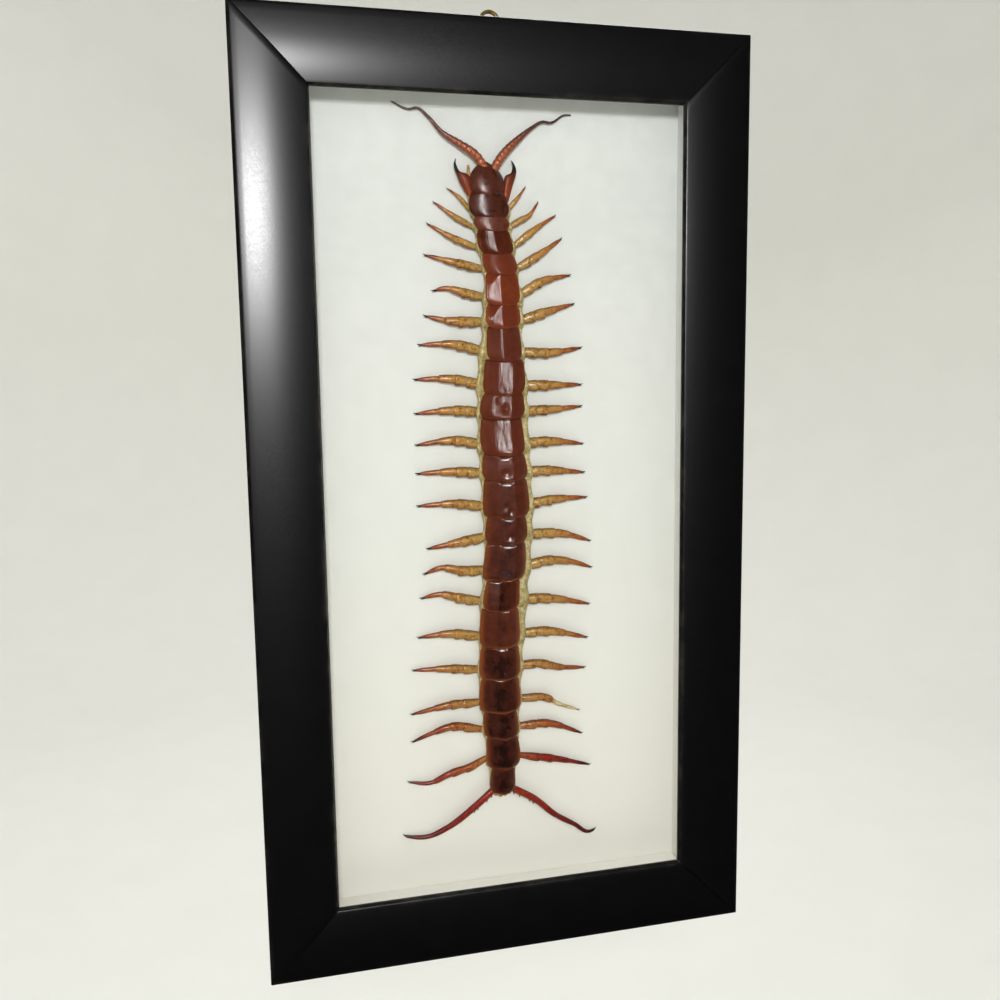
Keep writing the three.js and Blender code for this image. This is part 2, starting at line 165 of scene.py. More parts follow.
def makeCamera():
    data = bpy.data.cameras.new("camera")
    data.sensor_width = camera["sensor"]
    data.lens = camera["lens"]
    data.clip_start = 0.01
    eye = Vector(camera["eye"]) * mm
    aim = Vector(camera["aim"]) * mm
    lookout = bpy.data.objects.new("camera", data)
    bpy.context.collection.objects.link(lookout)
    lookout.location = eye
    lookout.rotation_mode = "QUATERNION"
    roll = Quaternion((0, 0, 1), math.radians(camera["rollDeg"]))
    lookout.rotation_quaternion = (aim - eye).to_track_quat("-Z", "Y") @ roll
    scene.camera = lookout
    print("camera: at the photograph's angle")


# Studio: a pale round cove, a small lamp over the lens, two large ones in front and above, one behind

studio = {
    "floorHeight": -430.0,
    "floorRadius": 1100.0,
    "coveRadius": 600.0,
    "coveSteps": 12,
    "coveSides": 72,
    "wallHeight": 1900.0,
    "wallColour": ("#e4e4de", "#e6e6e0"),
    "ambient": "#3a3c40",
    "ambientStrength": 0.35,
}
lamps = {
    "lens_lamp": {
        "place": (-125, -614, 195), "aim": (0, -10, 20), "size": 90, "power": 2.4, "gloss": True},
    "front_lamp": {
        "place": (-150, -1500, 350), "aim": (0, 0, 0), "size": 1800, "power": 3.2, "gloss": False},
    "top_lamp": {
        "place": (-350, 150, 1600), "aim": (0, 200, 0), "size": 1500, "power": 22, "gloss": False},
    "back_lamp": {
        "place": (500, 1100, 900), "aim": (0, 0, 0), "size": 600, "power": 7, "gloss": True},
}
lampColour = "#ffffff"


def makeStudio():
    floor, radius, cove = studio["floorHeight"], studio["floorRadius"], studio["coveRadius"]
    profile = [(1, floor), (radius, floor)]
    for step in range(1, studio["coveSteps"] + 1):
        turn = step / studio["coveSteps"] * math.pi / 2
        profile.append((radius + cove * math.sin(turn), floor + cove * (1 - math.cos(turn))))
    profile.append((radius + cove, studio["wallHeight"]))
    turns = np.linspace(0, 2 * math.pi, studio["coveSides"], endpoint=False)
    rings = [[(r * math.cos(t), r * math.sin(t), height) for t in turns] for r, height in profile]
    points, faces = loft(rings)
    # Matt wall paint: an even pale surface with a very faint roller mottle
    paint, add, place = startMaterial("matt emulsion wall paint", {"Roughness": 0.9})
    mottle = add("TexNoise", {"Vector": place, "Scale": perSize(60), "Detail": 3.0})
    dark, light = studio["wallColour"]
    add("ValToRGB", {"Fac": mottle}, stops=[(0.3, dark), (0.7, light)], feeds="Base Color")
    mesh = makeMesh("cove", points, faces[:-1], [paint])
    backdrop = bpy.data.objects.new("cove", mesh)
    bpy.context.collection.objects.link(backdrop)
    backdrop.visible_glossy = False  # the room in front stays dark in the glass and the gloss behind it
    backdrop.visible_transmission = False
    world = bpy.data.worlds.new("studio air")
    world.use_nodes = True
    background = world.node_tree.nodes["Background"]
    background.inputs["Color"].default_value = hexLinear(studio["ambient"])
    background.inputs["Strength"].default_value = studio["ambientStrength"]
    scene.world = world
    for name, lamp in lamps.items():
        data = bpy.data.lights.new(name, "AREA")
        data.shape = "DISK"
        data.size = lamp["size"] * mm
        data.energy = lamp["power"]
        data.color = hexLinear(lampColour)[:3]
        light = bpy.data.objects.new(name, data)
        bpy.context.collection.objects.link(light)
        light.visible_glossy = lamp["gloss"]
        light.visible_transmission = lamp["gloss"]
        light.location = Vector(lamp["place"]) * mm
        light.rotation_mode = "QUATERNION"
        direction = Vector(lamp["aim"]) - Vector(lamp["place"])
        light.rotation_quaternion = direction.to_track_quat("-Z", "Y")
    scene.view_settings.view_transform = "Standard"
    print("studio: cove and", len(lamps), "lamps")


# Frame moulding: four mitred lengths

moulding = {
    "faceWidth": 26.7,
    "outerDrop": 0.5,  # how far the face falls back from its crown to the outer edge and to the lip
    "innerDrop": 1.5,
    "crownShare": 0.42,
    "outerRound": 1.7,
    "lipBevelWidth": 0.9,
    "lipEdgeDepth": 2.75,
    "lipThickness": 3.25,
    "rebateWidth": 6.0,
    "arrisRound": 0.22,
    "outerArris": (0.5, 1.2),  # where the outer edge is rubbed, and painted lighter as an edge highlight
    "edgeWearAndHighlightWidth": 0.45,
    "solidGap": 0.15,  # how far the solids stand back at each mitre
    "mitreGap": 0.06,
    "mitreEase": 0.1,
    "black": ("#040405", "#070708"),
    "dust": "#8d8c88",
    "edgeWearAndHighlightColour": "#5b534a",
}


def sprayedBlackWood():
    # Satin black lacquer on poplar: broad soft highlights, broken by fine orange peel and a little dust
    material, add, place = startMaterial("satin black lacquer sprayed on poplar", {
        "IOR": 1.52, "Specular IOR Level": 0.75})
    cloud = add("TexNoise", {"Vector": place, "Scale": perSize(9), "Detail": 4.0})
    dark, light = moulding["black"]
    black = add("ValToRGB", {"Fac": cloud}, stops=[(0.3, dark), (0.75, light)])
    # Specks of dust, up to 0.3 mm across, spaced about 5 mm apart
    cells = add("TexVoronoi", {"Vector": place, "Scale": perSize(5)})
    speck = add("MapRange", {"Value": cells, "From Min": 0.02, "From Max": 0.035, "To Min": 0.2,
        "To Max": 0.0})
    dusted = add("MixRGB", {"Fac": speck, "Color1": black, "Color2": hexLinear(moulding["dust"])})
    # Arrises rubbed thin in short runs and painted lighter there: partly worn paint, partly a painted edge
    # highlight
    edgeWearAndHighlight = add("Attribute", out="Fac", attribute_name="edgeWearAndHighlight")
    runs = add("TexNoise", {"Vector": place, "Scale": perSize(7), "Detail": 5.0})
    broken = add("MapRange", {"Value": runs, "From Min": 0.45, "From Max": 0.7, "To Min": 0.05,
        "To Max": 0.4})
    edgeWearAndHighlightFac = add("Math", {0: edgeWearAndHighlight, 1: broken}, operation="MULTIPLY")
    add("MixRGB", {"Fac": edgeWearAndHighlightFac, "Color1": dusted, "Color2": hexLinear(moulding["edgeWearAndHighlightColour"])},
        feeds="Base Color")
    # Orange peel, 0.7 mm from dimple to dimple
    peel = add("TexNoise", {"Vector": place, "Scale": perSize(0.7), "Detail": 2.0})
    add("MapRange", {"Value": peel, "From Min": 0.3, "From Max": 0.7, "To Min": 0.29, "To Max": 0.32},
        feeds="Roughness")
    add("Bump", {"Height": peel, "Strength": 0.35, "Distance": 0.015 * mm}, feeds="Normal")
    return material


def roundedCorner(before, corner, after, radius, steps=5):
    before, corner, after = (np.array(p, float) for p in (before, corner, after))
    towards = (before - corner) / np.linalg.norm(before - corner)
    away = (after - corner) / np.linalg.norm(after - corner)
    start, end = corner + towards * radius, corner + away * radius
    shares = np.linspace(0, 1, steps)
    return [(1 - t) ** 2 * start + 2 * t * (1 - t) * corner + t * t * end for t in shares]


def mouldingSection(railDepth):
    # Points are (inward from the outer side, back from the crown)
    m = moulding
    faceEnd = m["faceWidth"] - m["lipBevelWidth"]
    crown = m["crownShare"] * faceEnd
    section = [(0, railDepth)]
    section += roundedCorner((0, railDepth), (0, m["outerDrop"]), (crown, 0), m["outerRound"], 9)
    for inward in np.linspace(m["outerRound"], faceEnd, 27)[1:-1]:
        if inward < crown:
            section.append((inward, m["outerDrop"] * (1 - inward / crown) ** 2))
        else:
            section.append((inward, m["innerDrop"] * ((inward - crown) / (faceEnd - crown)) ** 2))
    bend = (faceEnd, m["innerDrop"])
    lipEdge = (m["faceWidth"], m["lipEdgeDepth"])
    lipBack = (m["faceWidth"], m["lipThickness"])
    section += roundedCorner(section[-1], bend, lipEdge, m["arrisRound"])
    section += roundedCorner(bend, lipEdge, lipBack, m["arrisRound"])
    section += [lipBack, (m["faceWidth"] - m["rebateWidth"], m["lipThickness"])]
    section += [(m["faceWidth"] - m["rebateWidth"], railDepth)]
    return np.array([tuple(point) for point in section])


def makeMoulding():
    m = moulding
    lacquer = sprayedBlackWood()
    low, high = nodeBox("stile_left")
    frontY, railDepth = low[1], high[1] - low[1]
    wide = 2 * (nodeBox("rail_top")[1][0] + m["solidGap"])
    tall = 2 * (high[2] + m["solidGap"])
    section = mouldingSection(railDepth)
    bend = (m["faceWidth"] - m["lipBevelWidth"], m["innerDrop"])
    arrises = (bend, (m["faceWidth"], m["lipEdgeDepth"]), m["outerArris"])
    lengths = (
        ("rail_top", wide, tall / 2, 0), ("stile_right", tall, wide / 2, 90),
        ("rail_bottom", wide, tall / 2, 180), ("stile_left", tall, wide / 2, -90),
    )
    for name, length, reach, turnDeg in lengths:
        # Stations run along the length; the end ones are eased back so that the mitre shows as a fine line
        shares = np.concatenate([[-1, -0.998], np.linspace(-0.98, 0.98, 40), [0.998, 1]])
        rings = []
        for index, share in enumerate(shares):
            atEnd = index in (0, len(shares) - 1)
            ring = []
            for inward, backward in section:
                half = length / 2 - m["mitreGap"] - inward
                sink = m["mitreEase"] if atEnd and backward < m["lipEdgeDepth"] else 0
                ring.append((share * half, frontY + backward + sink, reach - inward))
            rings.append(ring)
        points, faces = loft(rings)
        points = points @ np.array(Matrix.Rotation(math.radians(turnDeg), 3, "Y")).T
        faces = outward(points, faces)
        mesh = makeMesh(name + "_lacquered", points, faces, [lacquer], 28)
        # Lighter arrises, fading away from each arris: worn paint together with a painted edge highlight
        edgeWearAndHighlight = [max(np.exp(-np.hypot(i - a, b - d) / m["edgeWearAndHighlightWidth"]) for a, d in arrises) for i, b in section]
        setAttribute(mesh, "edgeWearAndHighlight", np.tile(edgeWearAndHighlight, len(shares)))
        addPiece(name + "_lacquered", mesh, "black_moulding", name)
    print("moulding: four mitred lengths")


# Glass, white boards and brown panel keep their solids and get their surfaces here

sheets = {
    "paper": ("#d9dbd8", "#dfe1de"),
    "paperPaintedLightFoot": "#efece2",
    "panelBrown": ("#5a3d24", "#7d5a38", "#94714a"),
}


def floatGlass():
    # Float glass: clear and flat, with a trace of green and smears too faint to see face on
    material, add, place = startMaterial("clear float glass", {
        "Base Color": hexLinear("#fcfdfc"), "IOR": 1.52, "Transmission Weight": 1.0})
    smear = add("TexNoise", {"Vector": place, "Scale": perSize(40), "Detail": 4.0})
    add("MapRange", {"Value": smear, "From Min": 0.5, "From Max": 0.8, "To Min": 0.0, "To Max": 0.006},
        feeds="Roughness")
    return material


def paperFacedBoard():
    # Paper-faced mounting board: matt, with a faint tooth, mottled pulp and painted light that makes its
    # foot warmer and lighter
    material, add, place = startMaterial("paper-faced white mounting board", {"Roughness": 0.85})
    pulp = add("TexNoise", {"Vector": place, "Scale": perSize(6), "Detail": 6.0})
    clean, light = sheets["paper"]
    paper = add("ValToRGB", {"Fac": pulp}, stops=[(0.35, clean), (0.7, light)])
    height = add("SeparateXYZ", {"Vector": place}, out="Z")
    # Painted light: towards the bottom the board is mixed to a lighter, warmer colour
    paintedFootLight = add("MapRange", {"Value": height, "From Min": 0.12, "From Max": -0.17, "To Min": 0.0,
        "To Max": 0.9})
    add("MixRGB", {"Fac": paintedFootLight, "Color1": paper, "Color2": hexLinear(sheets["paperPaintedLightFoot"])},
        feeds="Base Color")
    # Paper tooth is finer than a pixel, so it is drawn at 0.5 mm
    tooth = add("TexNoise", {"Vector": place, "Scale": perSize(0.5), "Detail": 3.0})
    add("Bump", {"Height": tooth, "Strength": 0.25, "Distance": 0.03 * mm}, feeds="Normal")
    return material


def pressedHardboard():
    # Hardboard: steam-pressed wood fibre, brown with darker strands, faintly glazed by the press
    material, add, place = startMaterial("pressed hardboard", {"IOR": 1.45})
    strands = add("TexNoise", {"Vector": place, "Scale": perSize(2.2), "Detail": 8.0, "Distortion": 1.6})
    dark, middle, light = sheets["panelBrown"]
    add("ValToRGB", {"Fac": strands}, stops=[(0.3, dark), (0.5, middle), (0.72, light)],
        feeds="Base Color")
    add("MapRange", {"Value": strands, "To Min": 0.55, "To Max": 0.8}, feeds="Roughness")
    add("Bump", {"Height": strands, "Strength": 0.4, "Distance": 0.08 * mm}, feeds="Normal")
    return material


def dressSheets():
    paper = paperFacedBoard()
    finishes = {"glass_pane": floatGlass(), "back_panel": pressedHardboard(), "backing_board": paper}
    for side in ("top", "bottom", "left", "right"):
        finishes["liner_" + side] = paper
    for name, material in finishes.items():
        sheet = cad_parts[name]
        sheet.data.materials.clear()
        sheet.data.materials.append(material)
    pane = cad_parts["glass_pane"]
    pane.visible_shadow = False  # light reaches the specimen through the pane
    pane.visible_diffuse = False
    print("sheets: glass, boards, liners and back panel")


# Hanging plate and screws

hanger = {
    "eyeOuter": 4.2, "eyeInner": 3.05, "neckWidth": 5.0, "footCorner": 2.0, "shoulder": 172.0,
    "holeHeights": (161.2, 168.4), "holeRadius": 1.45, "edgeRound": 0.25,
    "brass": ("#8a6a2c", "#c59a4a", "#d9b667"),
}
screws = {
    "panel_screw": {"slot": "zinc_steel", "head": 2.9, "headHeight": 1.7, "shank": 1.4, "pan": False},
    "plate_screw": {"slot": "brass", "head": 2.3, "headHeight": 1.1, "shank": 1.2, "pan": True},
    "sides": 40, "slotWidth": 0.6, "slotDepth": 0.6, "pitch": 1.2,
    "zinc": ("#8f9498", "#b9bdc0"),
}


def stampedBrass():
    # Stamped brass: rolled grain along the strip, brown tarnish in blotches, brighter where hands rub it
    material, add, place = startMaterial("stamped brass strip", {"Metallic": 1.0})
    stretch = add("Mapping", {"Vector": place, "Scale": (8.0, 8.0, 1.0)})
    grain = add("TexNoise", {"Vector": stretch, "Scale": perSize(3), "Detail": 4.0})
    blotch = add("TexNoise", {"Vector": place, "Scale": perSize(2.5), "Detail": 5.0})
    dark, middle, light = hanger["brass"]
    add("ValToRGB", {"Fac": blotch}, stops=[(0.3, dark), (0.5, middle), (0.75, light)],
        feeds="Base Color")
    add("MapRange", {"Value": grain, "To Min": 0.22, "To Max": 0.42}, feeds="Roughness")
    add("Bump", {"Height": grain, "Strength": 0.2, "Distance": 0.02 * mm}, feeds="Normal")
    return material


def zincPlatedSteel():
    # Zinc-plated steel: cold grey with a fine crystalline mottle
    material, add, place = startMaterial("bright zinc plate on steel", {"Metallic": 1.0})
    crystals = add("TexVoronoi", {"Vector": place, "Scale": perSize(0.6)})
    dark, light = screws["zinc"]
    add("ValToRGB", {"Fac": crystals}, stops=[(0.1, dark), (0.7, light)], feeds="Base Color")
    add("MapRange", {"Value": crystals, "To Min": 0.25, "To Max": 0.45}, feeds="Roughness")
    return material


def circle(height, radius, steps, start=0, end=2 * math.pi):
    turns = np.linspace(start, end, steps)
    return [(radius * math.cos(t), height + radius * math.sin(t)) for t in turns]


def hangerOutlines(foot, top, width):
    h = hanger
    half, corner, shoulder, neck = width / 2, h["footCorner"], h["shoulder"], h["neckWidth"] / 2
    centre = top - h["eyeOuter"]
    opening = math.asin(neck / h["eyeOuter"])
    right = roundedCorner((0, foot), (half, foot), (half, shoulder), corner, 8)
    right += roundedCorner((half, foot), (half, shoulder), (neck, shoulder + 1), corner, 8)
    right = [tuple(point) for point in right] + [(neck, shoulder + corner)]
    eye = circle(centre, h["eyeOuter"], 48, opening - math.pi / 2, 1.5 * math.pi - opening)
    left = [(-x, z) for x, z in reversed(right)]
    holes = [circle(z, h["holeRadius"], 25)[:-1] for z in h["holeHeights"]]
    return [right + eye + left, circle(centre, h["eyeInner"], 49)[:-1], *holes]


def makeHanger(brass):
    low, high = nodeBox("hanging_plate")
    thickness, edge = high[1] - low[1], hanger["edgeRound"]
    curve = bpy.data.curves.new("hanging_plate_outline", "CURVE")
    curve.dimensions = "2D"
    curve.fill_mode = "BOTH"
    curve.extrude = (thickness / 2 - edge) * mm
    curve.bevel_depth = edge * mm
    curve.bevel_resolution = 3
    curve.offset = -edge * mm
    for outline in hangerOutlines(low[2], high[2], high[0] - low[0]):
        spline = curve.splines.new("POLY")
        spline.points.add(len(outline) - 1)
        spline.use_cyclic_u = True
        for point, (x, z) in zip(spline.points, outline):
            point.co = (x * mm, z * mm, 0, 1)
    pattern = bpy.data.objects.new("hanging_plate_outline", curve)
    bpy.context.collection.objects.link(pattern)
    mesh = bpy.data.meshes.new_from_object(pattern.evaluated_get(bpy.context.evaluated_depsgraph_get()))
    bpy.data.objects.remove(pattern)
    upright = Matrix.Rotation(math.pi / 2, 4, "X")
    mesh.transform(Matrix.Translation((0, (low[1] + high[1]) / 2 * mm, 0)) @ upright)
    mesh.materials.clear()
    mesh.materials.append(brass)
    mesh.shade_smooth()
    mesh.set_sharp_from_angle(angle=math.radians(40))
    addPiece("hanging_plate_stamped", mesh, "brass", "hanging_plate")


def screwRings(kind, low, high):
    # Turned about the screw's own axis: head at the back, thread worked in as ridges, a point at the front
    length = high[1] - low[1]
    head, deep, shank = kind["head"], kind["headHeight"], kind["shank"]
    if kind["pan"]:
        dome = ((0.5, -0.06), (0.75, -0.2), (0.93, -0.48), (1, -0.8))
        profile = [(0.01, 0)] + [(head * share, y) for share, y in dome] + [(head, -deep)]
    else:
        profile = [(0.01, 0), (head * 0.96, 0), (head, -0.08), (head, -0.22)]
    profile += [(shank, -deep), (shank * 0.8, -deep - 0.3)]
    threadEnd = length - 2 * shank
    ridges = int((threadEnd - deep - 1) / screws["pitch"])
    for ridge in range(ridges):
        depth = deep + 0.8 + ridge * screws["pitch"]
        profile += [(shank * 0.78, -depth), (shank, -depth - 0.35), (shank * 0.78, -depth - 0.7)]
    profile += [(shank * 0.8, -threadEnd), (0.02, -length)]
    turns = np.linspace(0, 2 * math.pi, screws["sides"], endpoint=False)
    axisX, axisZ = (low[0] + high[0]) / 2, (low[2] + high[2]) / 2
    rings = []
    for r, y in profile:
        rings.append([(axisX + r * math.cos(t), high[1] + y, axisZ + r * math.sin(t)) for t in turns])
    return rings


def cutSlot(mesh, low, high):
    # A saw-cut slot across the head
    middle, half = (low + high) / 2, screws["slotWidth"] / 2
    reach, deep = high[0] - low[0], screws["slotDepth"]
    rings = []
    for x in (-reach, reach):
        corners = ((-1, -half), (1, -half), (1, half), (-1, half))
        rings.append([(middle[0] + x, high[1] + y * deep, middle[2] + z) for y, z in corners])
    points, faces = loft(rings)
    faces = outward(points, faces)
    saw = bpy.data.objects.new("saw", makeMesh("saw", points, faces, []))
    blank = bpy.data.objects.new("blank", mesh)
    for item in (saw, blank):
        bpy.context.collection.objects.link(item)
    cut = blank.modifiers.new("slot", "BOOLEAN")
    cut.operation = "DIFFERENCE"
    cut.solver = "EXACT"
    cut.object = saw
    slotted = bpy.data.meshes.new_from_object(blank.evaluated_get(bpy.context.evaluated_depsgraph_get()))
    for item in (saw, blank):
        bpy.data.objects.remove(item)
    slotted.shade_smooth()
    slotted.set_sharp_from_angle(angle=math.radians(32))
    return slotted


def makeFittings():
    brass, zinc = stampedBrass(), zincPlatedSteel()
    makeHanger(brass)
    finishes = {"panel_screw": zinc, "plate_screw": brass}
    names = sorted(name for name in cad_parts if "_screw_" in name)
    for name in names:
        stem = name.rsplit("_", 1)[0]
        kind = screws[stem]
        low, high = nodeBox(name)
        points, faces = loft(screwRings(kind, low, high))
        faces = outward(points, faces)
        mesh = cutSlot(makeMesh(name, points, faces, [finishes[stem]], 32), low, high)
        mesh.name = name + "_turned"
        addPiece(name + "_turned", mesh, kind["slot"], name)
    print("fittings: hanging plate and", len(names), "screws")


# The animal. Heights are above the backing board, and places are [across, up] in the board's plane.

body = {
    "front": 117.7,  # where the head meets the first back plate
    "topHeight": 7.2,
    "neckFall": (0.35, 0.25),  # how steeply the back falls, and from which share of the length
    "tailFall": (0.3, 0.8),
    "sideHeight": 2.5,
    "underPlate": 0.75,  # from a plate's face down to the membrane
    "jointSink": 1.7,  # how much lower the membrane is at a joint
    "hump": 0.9,  # of the membrane beside the plates
    "scallop": 0.5,
    "wrinkle": 0.35,
    # Soft sides from tail to head: up, left edge and right edge
    "softSides": [
        [-119, -4.6, 1.6], [-113, -6.7, 3.2], [-102, -7.9, 5.3], [-90, -9.3, 5.7], [-77, -10.5, 6.6],
        [-63, -10.8, 7.5], [-51, -10.1, 8.3], [-41, -9.9, 9.7], [-31, -8.8, 10.4], [-20, -7.5, 11.5],
        [-5, -8.2, 12.5], [10, -8.8, 12.1], [26, -9.6, 11.2], [41, -9.6, 10.9], [55, -9, 9.9],
        [65, -7.6, 8.9], [75, -7.1, 9.4], [88, -6, 7.8], [98, -8.4, 6.2], [109, -10.2, 4.5],
        [118, -11, 3.6],
    ],
}
head = {
    "length": 12.2, "half": 6.7, "frontMiddle": -5.0, "tuck": 1.0, "top": 6.7, "underside": 2.4,
    "frontFall": 3.8, "rearFall": 6.0, "sideFall": 2.6, "notchDepth": 0.25, "notchWidth": 0.5,
    "uneven": 0.05, "unevenSize": 4.0, "tone": 0.26,
}
# Back plates from head to tail: length, half width, middle, how orange, and how amber the margin is.
# Then the flat middle panel: left and right edge as shares of the half width, tilt to the left, lean
# towards the head, and the share of the length that dips in front.
backPlates = [
    (8, 7.7, -4.0, 0.22, 0.0, 0, 0, 0, 2, 0.12),
    (5, 7.0, -3.0, 0.45, 0.1, 0, 0, 0, 7, 0.12),
    (8.5, 6.8, -1.9, 0.26, 0.1, -0.48, -0.04, 12.5, 1.5, 0.1),
    (7.5, 6.7, 0.0, 0.66, 0.2, 0, 0, 0, 12, 0.12),
    (11.5, 6.8, 0.7, 0.74, 0.1, -0.88, -0.14, 12.5, 3.5, 0.12),
    (8.5, 6.9, 0.8, 0.62, 0.35, -0.8, -0.1, 12, 5, 0.12),
    (12.5, 6.9, 1.1, 0.4, 0.1, -0.2, 0.3, 2, 6, 0.12),
    (13, 8.2, 1.2, 0.42, 0.1, -0.29, 0.36, 12, 7.8, 0.1),
    (9, 8.8, 0.2, 0.42, 0.1, -0.49, 0.37, 9.5, 9.5, 0.12),
    (14, 8.6, 0.0, 0.45, 0.1, -0.35, 0.37, 13, 12, 0.1),
    (10, 8.9, 0.8, 0.38, 0.15, -0.33, 0.3, 12, 5, 0.3),
    (14.5, 9.2, 1.2, 0.32, 0.2, -0.33, 0.33, 12, 3, 0.22),
    (10.5, 8.4, 1.1, 0.28, 0.2, -0.25, 0.36, 12, 3, 0.24),
    (14.5, 8.5, 0.4, 0.24, 0.35, -0.3, 0.44, 12, 3, 0.2),
    (12, 7.5, -1.4, 0.26, 0.35, -0.7, -0.17, 12, 7, 0.14),
    (15, 8.1, -2.1, 0.32, 0.4, 0.0, 0.4, 12, 3, 0.12),
    (13, 8.3, -2.3, 0.2, 0.5, -0.2, 0.3, 12, 3, 0.2),
    (13.5, 8.4, -2.5, 0.19, 0.5, -0.28, 0.25, 12, 3, 0.13),
    (11, 7.2, -2.2, 0.19, 0.4, 0.0, 0.3, 12, 3, 0.13),
    (12.5, 7.0, -1.4, 0.18, 0.4, -0.1, 0.3, 12, 3, 0.13),
    (11.5, 5.3, -1.9, 0.22, 0.2, 0, 0, 0, 4, 0.12),
]
plateShape = {
    "tuck": 0.9, "overlap": 0.5, "thickness": 0.5, "frontDip": 0.9, "rearDip": 0.3, "bowDeg": 2.0,
    "sideDrop": 2.3, "leftFlankDeg": 23, "creaseRound": 0.5, "grooveDepth": 0.05, "grooveWidth": 0.15,
    "frontNarrow": 0.08, "rearNarrow": 0.03, "widest": 0.65,
    "frontCorner": 2.2, "rearCorner": 3.2, "tailCorner": 2.0, "tailOverlap": -0.9,
    "uneven": 0.07, "unevenSize": 4.0,
    # The fifth and sixth plate's front dip reaches further back on the left
    "skew": {4: 0.3, 5: 0.5},
    # Small dents: plate, share of the half width, share of the length, depth and size
    "dents": [
        (8, -0.2, 0.3, 0.25, 1.0), (8, 0.1, 0.6, 0.35, 1.3), (10, 0.0, 0.72, 0.5, 1.3),
        (11, -0.1, 0.72, 0.3, 0.9), (11, 0.15, 0.84, 0.4, 1.0), (12, 0.1, 0.72, 0.4, 1.0),
        (16, 0.15, 0.7, 0.3, 0.9), (17, 0.15, 0.48, 0.35, 0.8),
    ],
    "softGloss": 2,  # plates behind the head whose gloss is softer
    # Share of a plate's gloss lost to a dry, streaked film
    "film": {0: 0.5, 1: 0.5, 2: 0.82, 3: 0.7, 4: 0.93, 5: 0.93, 6: 0.75, 7: 0.95, 8: 0.86, 9: 0.95},
    "filmElsewhere": 0.3,
    "darkFrom": 11,  # plates with a darker middle
    "darkMiddle": 0.09,
}
legs = {
    "root": 0.73,  # share of the plate's length where the leg leaves
    "rootReach": 6.5,
    "heights": [1.3, 2.2, 2.4, 1.7, 0.7],
    "articles": [0.0, 0.30, 0.48, 0.71, 0.94, 1.0],
    "radii": [(1.5, 2.05), (1.9, 1.95), (1.75, 1.3), (1.1, 0.8), (0.72, 0.5)],
    "knobs": (0.2, 0.17, 0.08, 0.04, 0.0),  # how far the underside swells at an article's far end
    "pinch": 0.05,
    "brokenRadii": [(1.5, 1.9), (1.85, 1.5), (1.0, 0.85), (0.8, 0.6), (0.5, 0.3)],
    "broken": (1, 17),  # right side, eighteenth leg
    "brokenArticles": [0.0, 0.34, 0.56, 0.74, 0.94, 1.0],
    "frontSizes": (0.44, 0.57, 0.7, 0.83, 0.93),
    "rearSizes": (0.9, 0.88, 0.88, 0.8),
    "uneven": 0.07,
    "redFrom": 16,
    "redness": ((0.15, 0.35, 0.7, 0.95), (0.25, 0.35, 0.75, 1.0)),  # the hindmost legs, left and right
    "reddestStart": 0.35,  # share of the colour run at the root of the reddest leg
    "clawLength": 2.3,
    "clawStandsOut": 0.85,
    "mainClaw": {"radius": 0.85, "bend": -0.35},
    "smallClaw": {"length": 0.9, "radius": 0.5, "bend": 0.3, "drop": 0.3},
    "sides": 14,
    # Each leg's bends and tip, front leg first
    "left": [
        [[-15, 117], [-19.5, 120.5]], [[-17, 110], [-25, 115.5]], [[-17.5, 102], [-27.5, 107.5]],
        [[-17, 93], [-29, 96]], [[-12.5, 81.5], [-21, 83.5], [-26, 82.5]], [[-20.5, 71.5], [-29.5, 73.5]],
        [[-18, 62.5], [-32, 62.5]], [[-19.5, 49.5], [-34, 49.5]], [[-20, 37.5], [-34, 36.5]],
        [[-19, 26], [-34, 24.5]], [[-20.5, 14], [-34, 13.5]], [[-19, 1.5], [-34, 1]],
        [[-16, -13.5], [-30.5, -16]], [[-17, -25], [-24.5, -23.5], [-32, -26]],
        [[-17.5, -36], [-25.5, -34], [-33.5, -35.5]], [[-22, -50], [-35, -51]], [[-24, -64], [-37.5, -64]],
        [[-22.5, -79], [-38.5, -82]], [[-23, -88], [-30, -90], [-38.5, -93.5]],
        [[-14.5, -105.5], [-23.5, -107.5], [-31, -110.5], [-40.5, -109.5]],
    ],
    "right": [
        [[7.5, 117], [11.5, 122]], [[9.4, 109.4], [11.3, 110.3], [16.5, 116.5]],
        [[14, 105.5], [23.5, 111.5]], [[15.5, 96], [26, 103]], [[16.5, 86], [29.5, 89]],
        [[18, 74.5], [31, 78]], [[19, 59], [34, 61]], [[19.5, 46.5], [34, 46.5]], [[19.5, 37], [34, 38]],
        [[21, 24.5], [34.5, 23]], [[20.5, 13], [35, 11.5]], [[22, 1.5], [36, 1.5]],
        [[24.5, -12.5], [37.5, -16.5]], [[20, -23], [27.5, -24], [38, -27.5]],
        [[18.5, -38.5], [37, -42.5]], [[18, -52], [36, -56.5]], [[13.5, -65], [23.5, -67.5], [35, -69]],
        [[18, -80], [22, -82.5], [32.5, -87]], [[17.5, -90.5], [33.5, -97]], [[21, -106], [37, -111]],
    ],
}
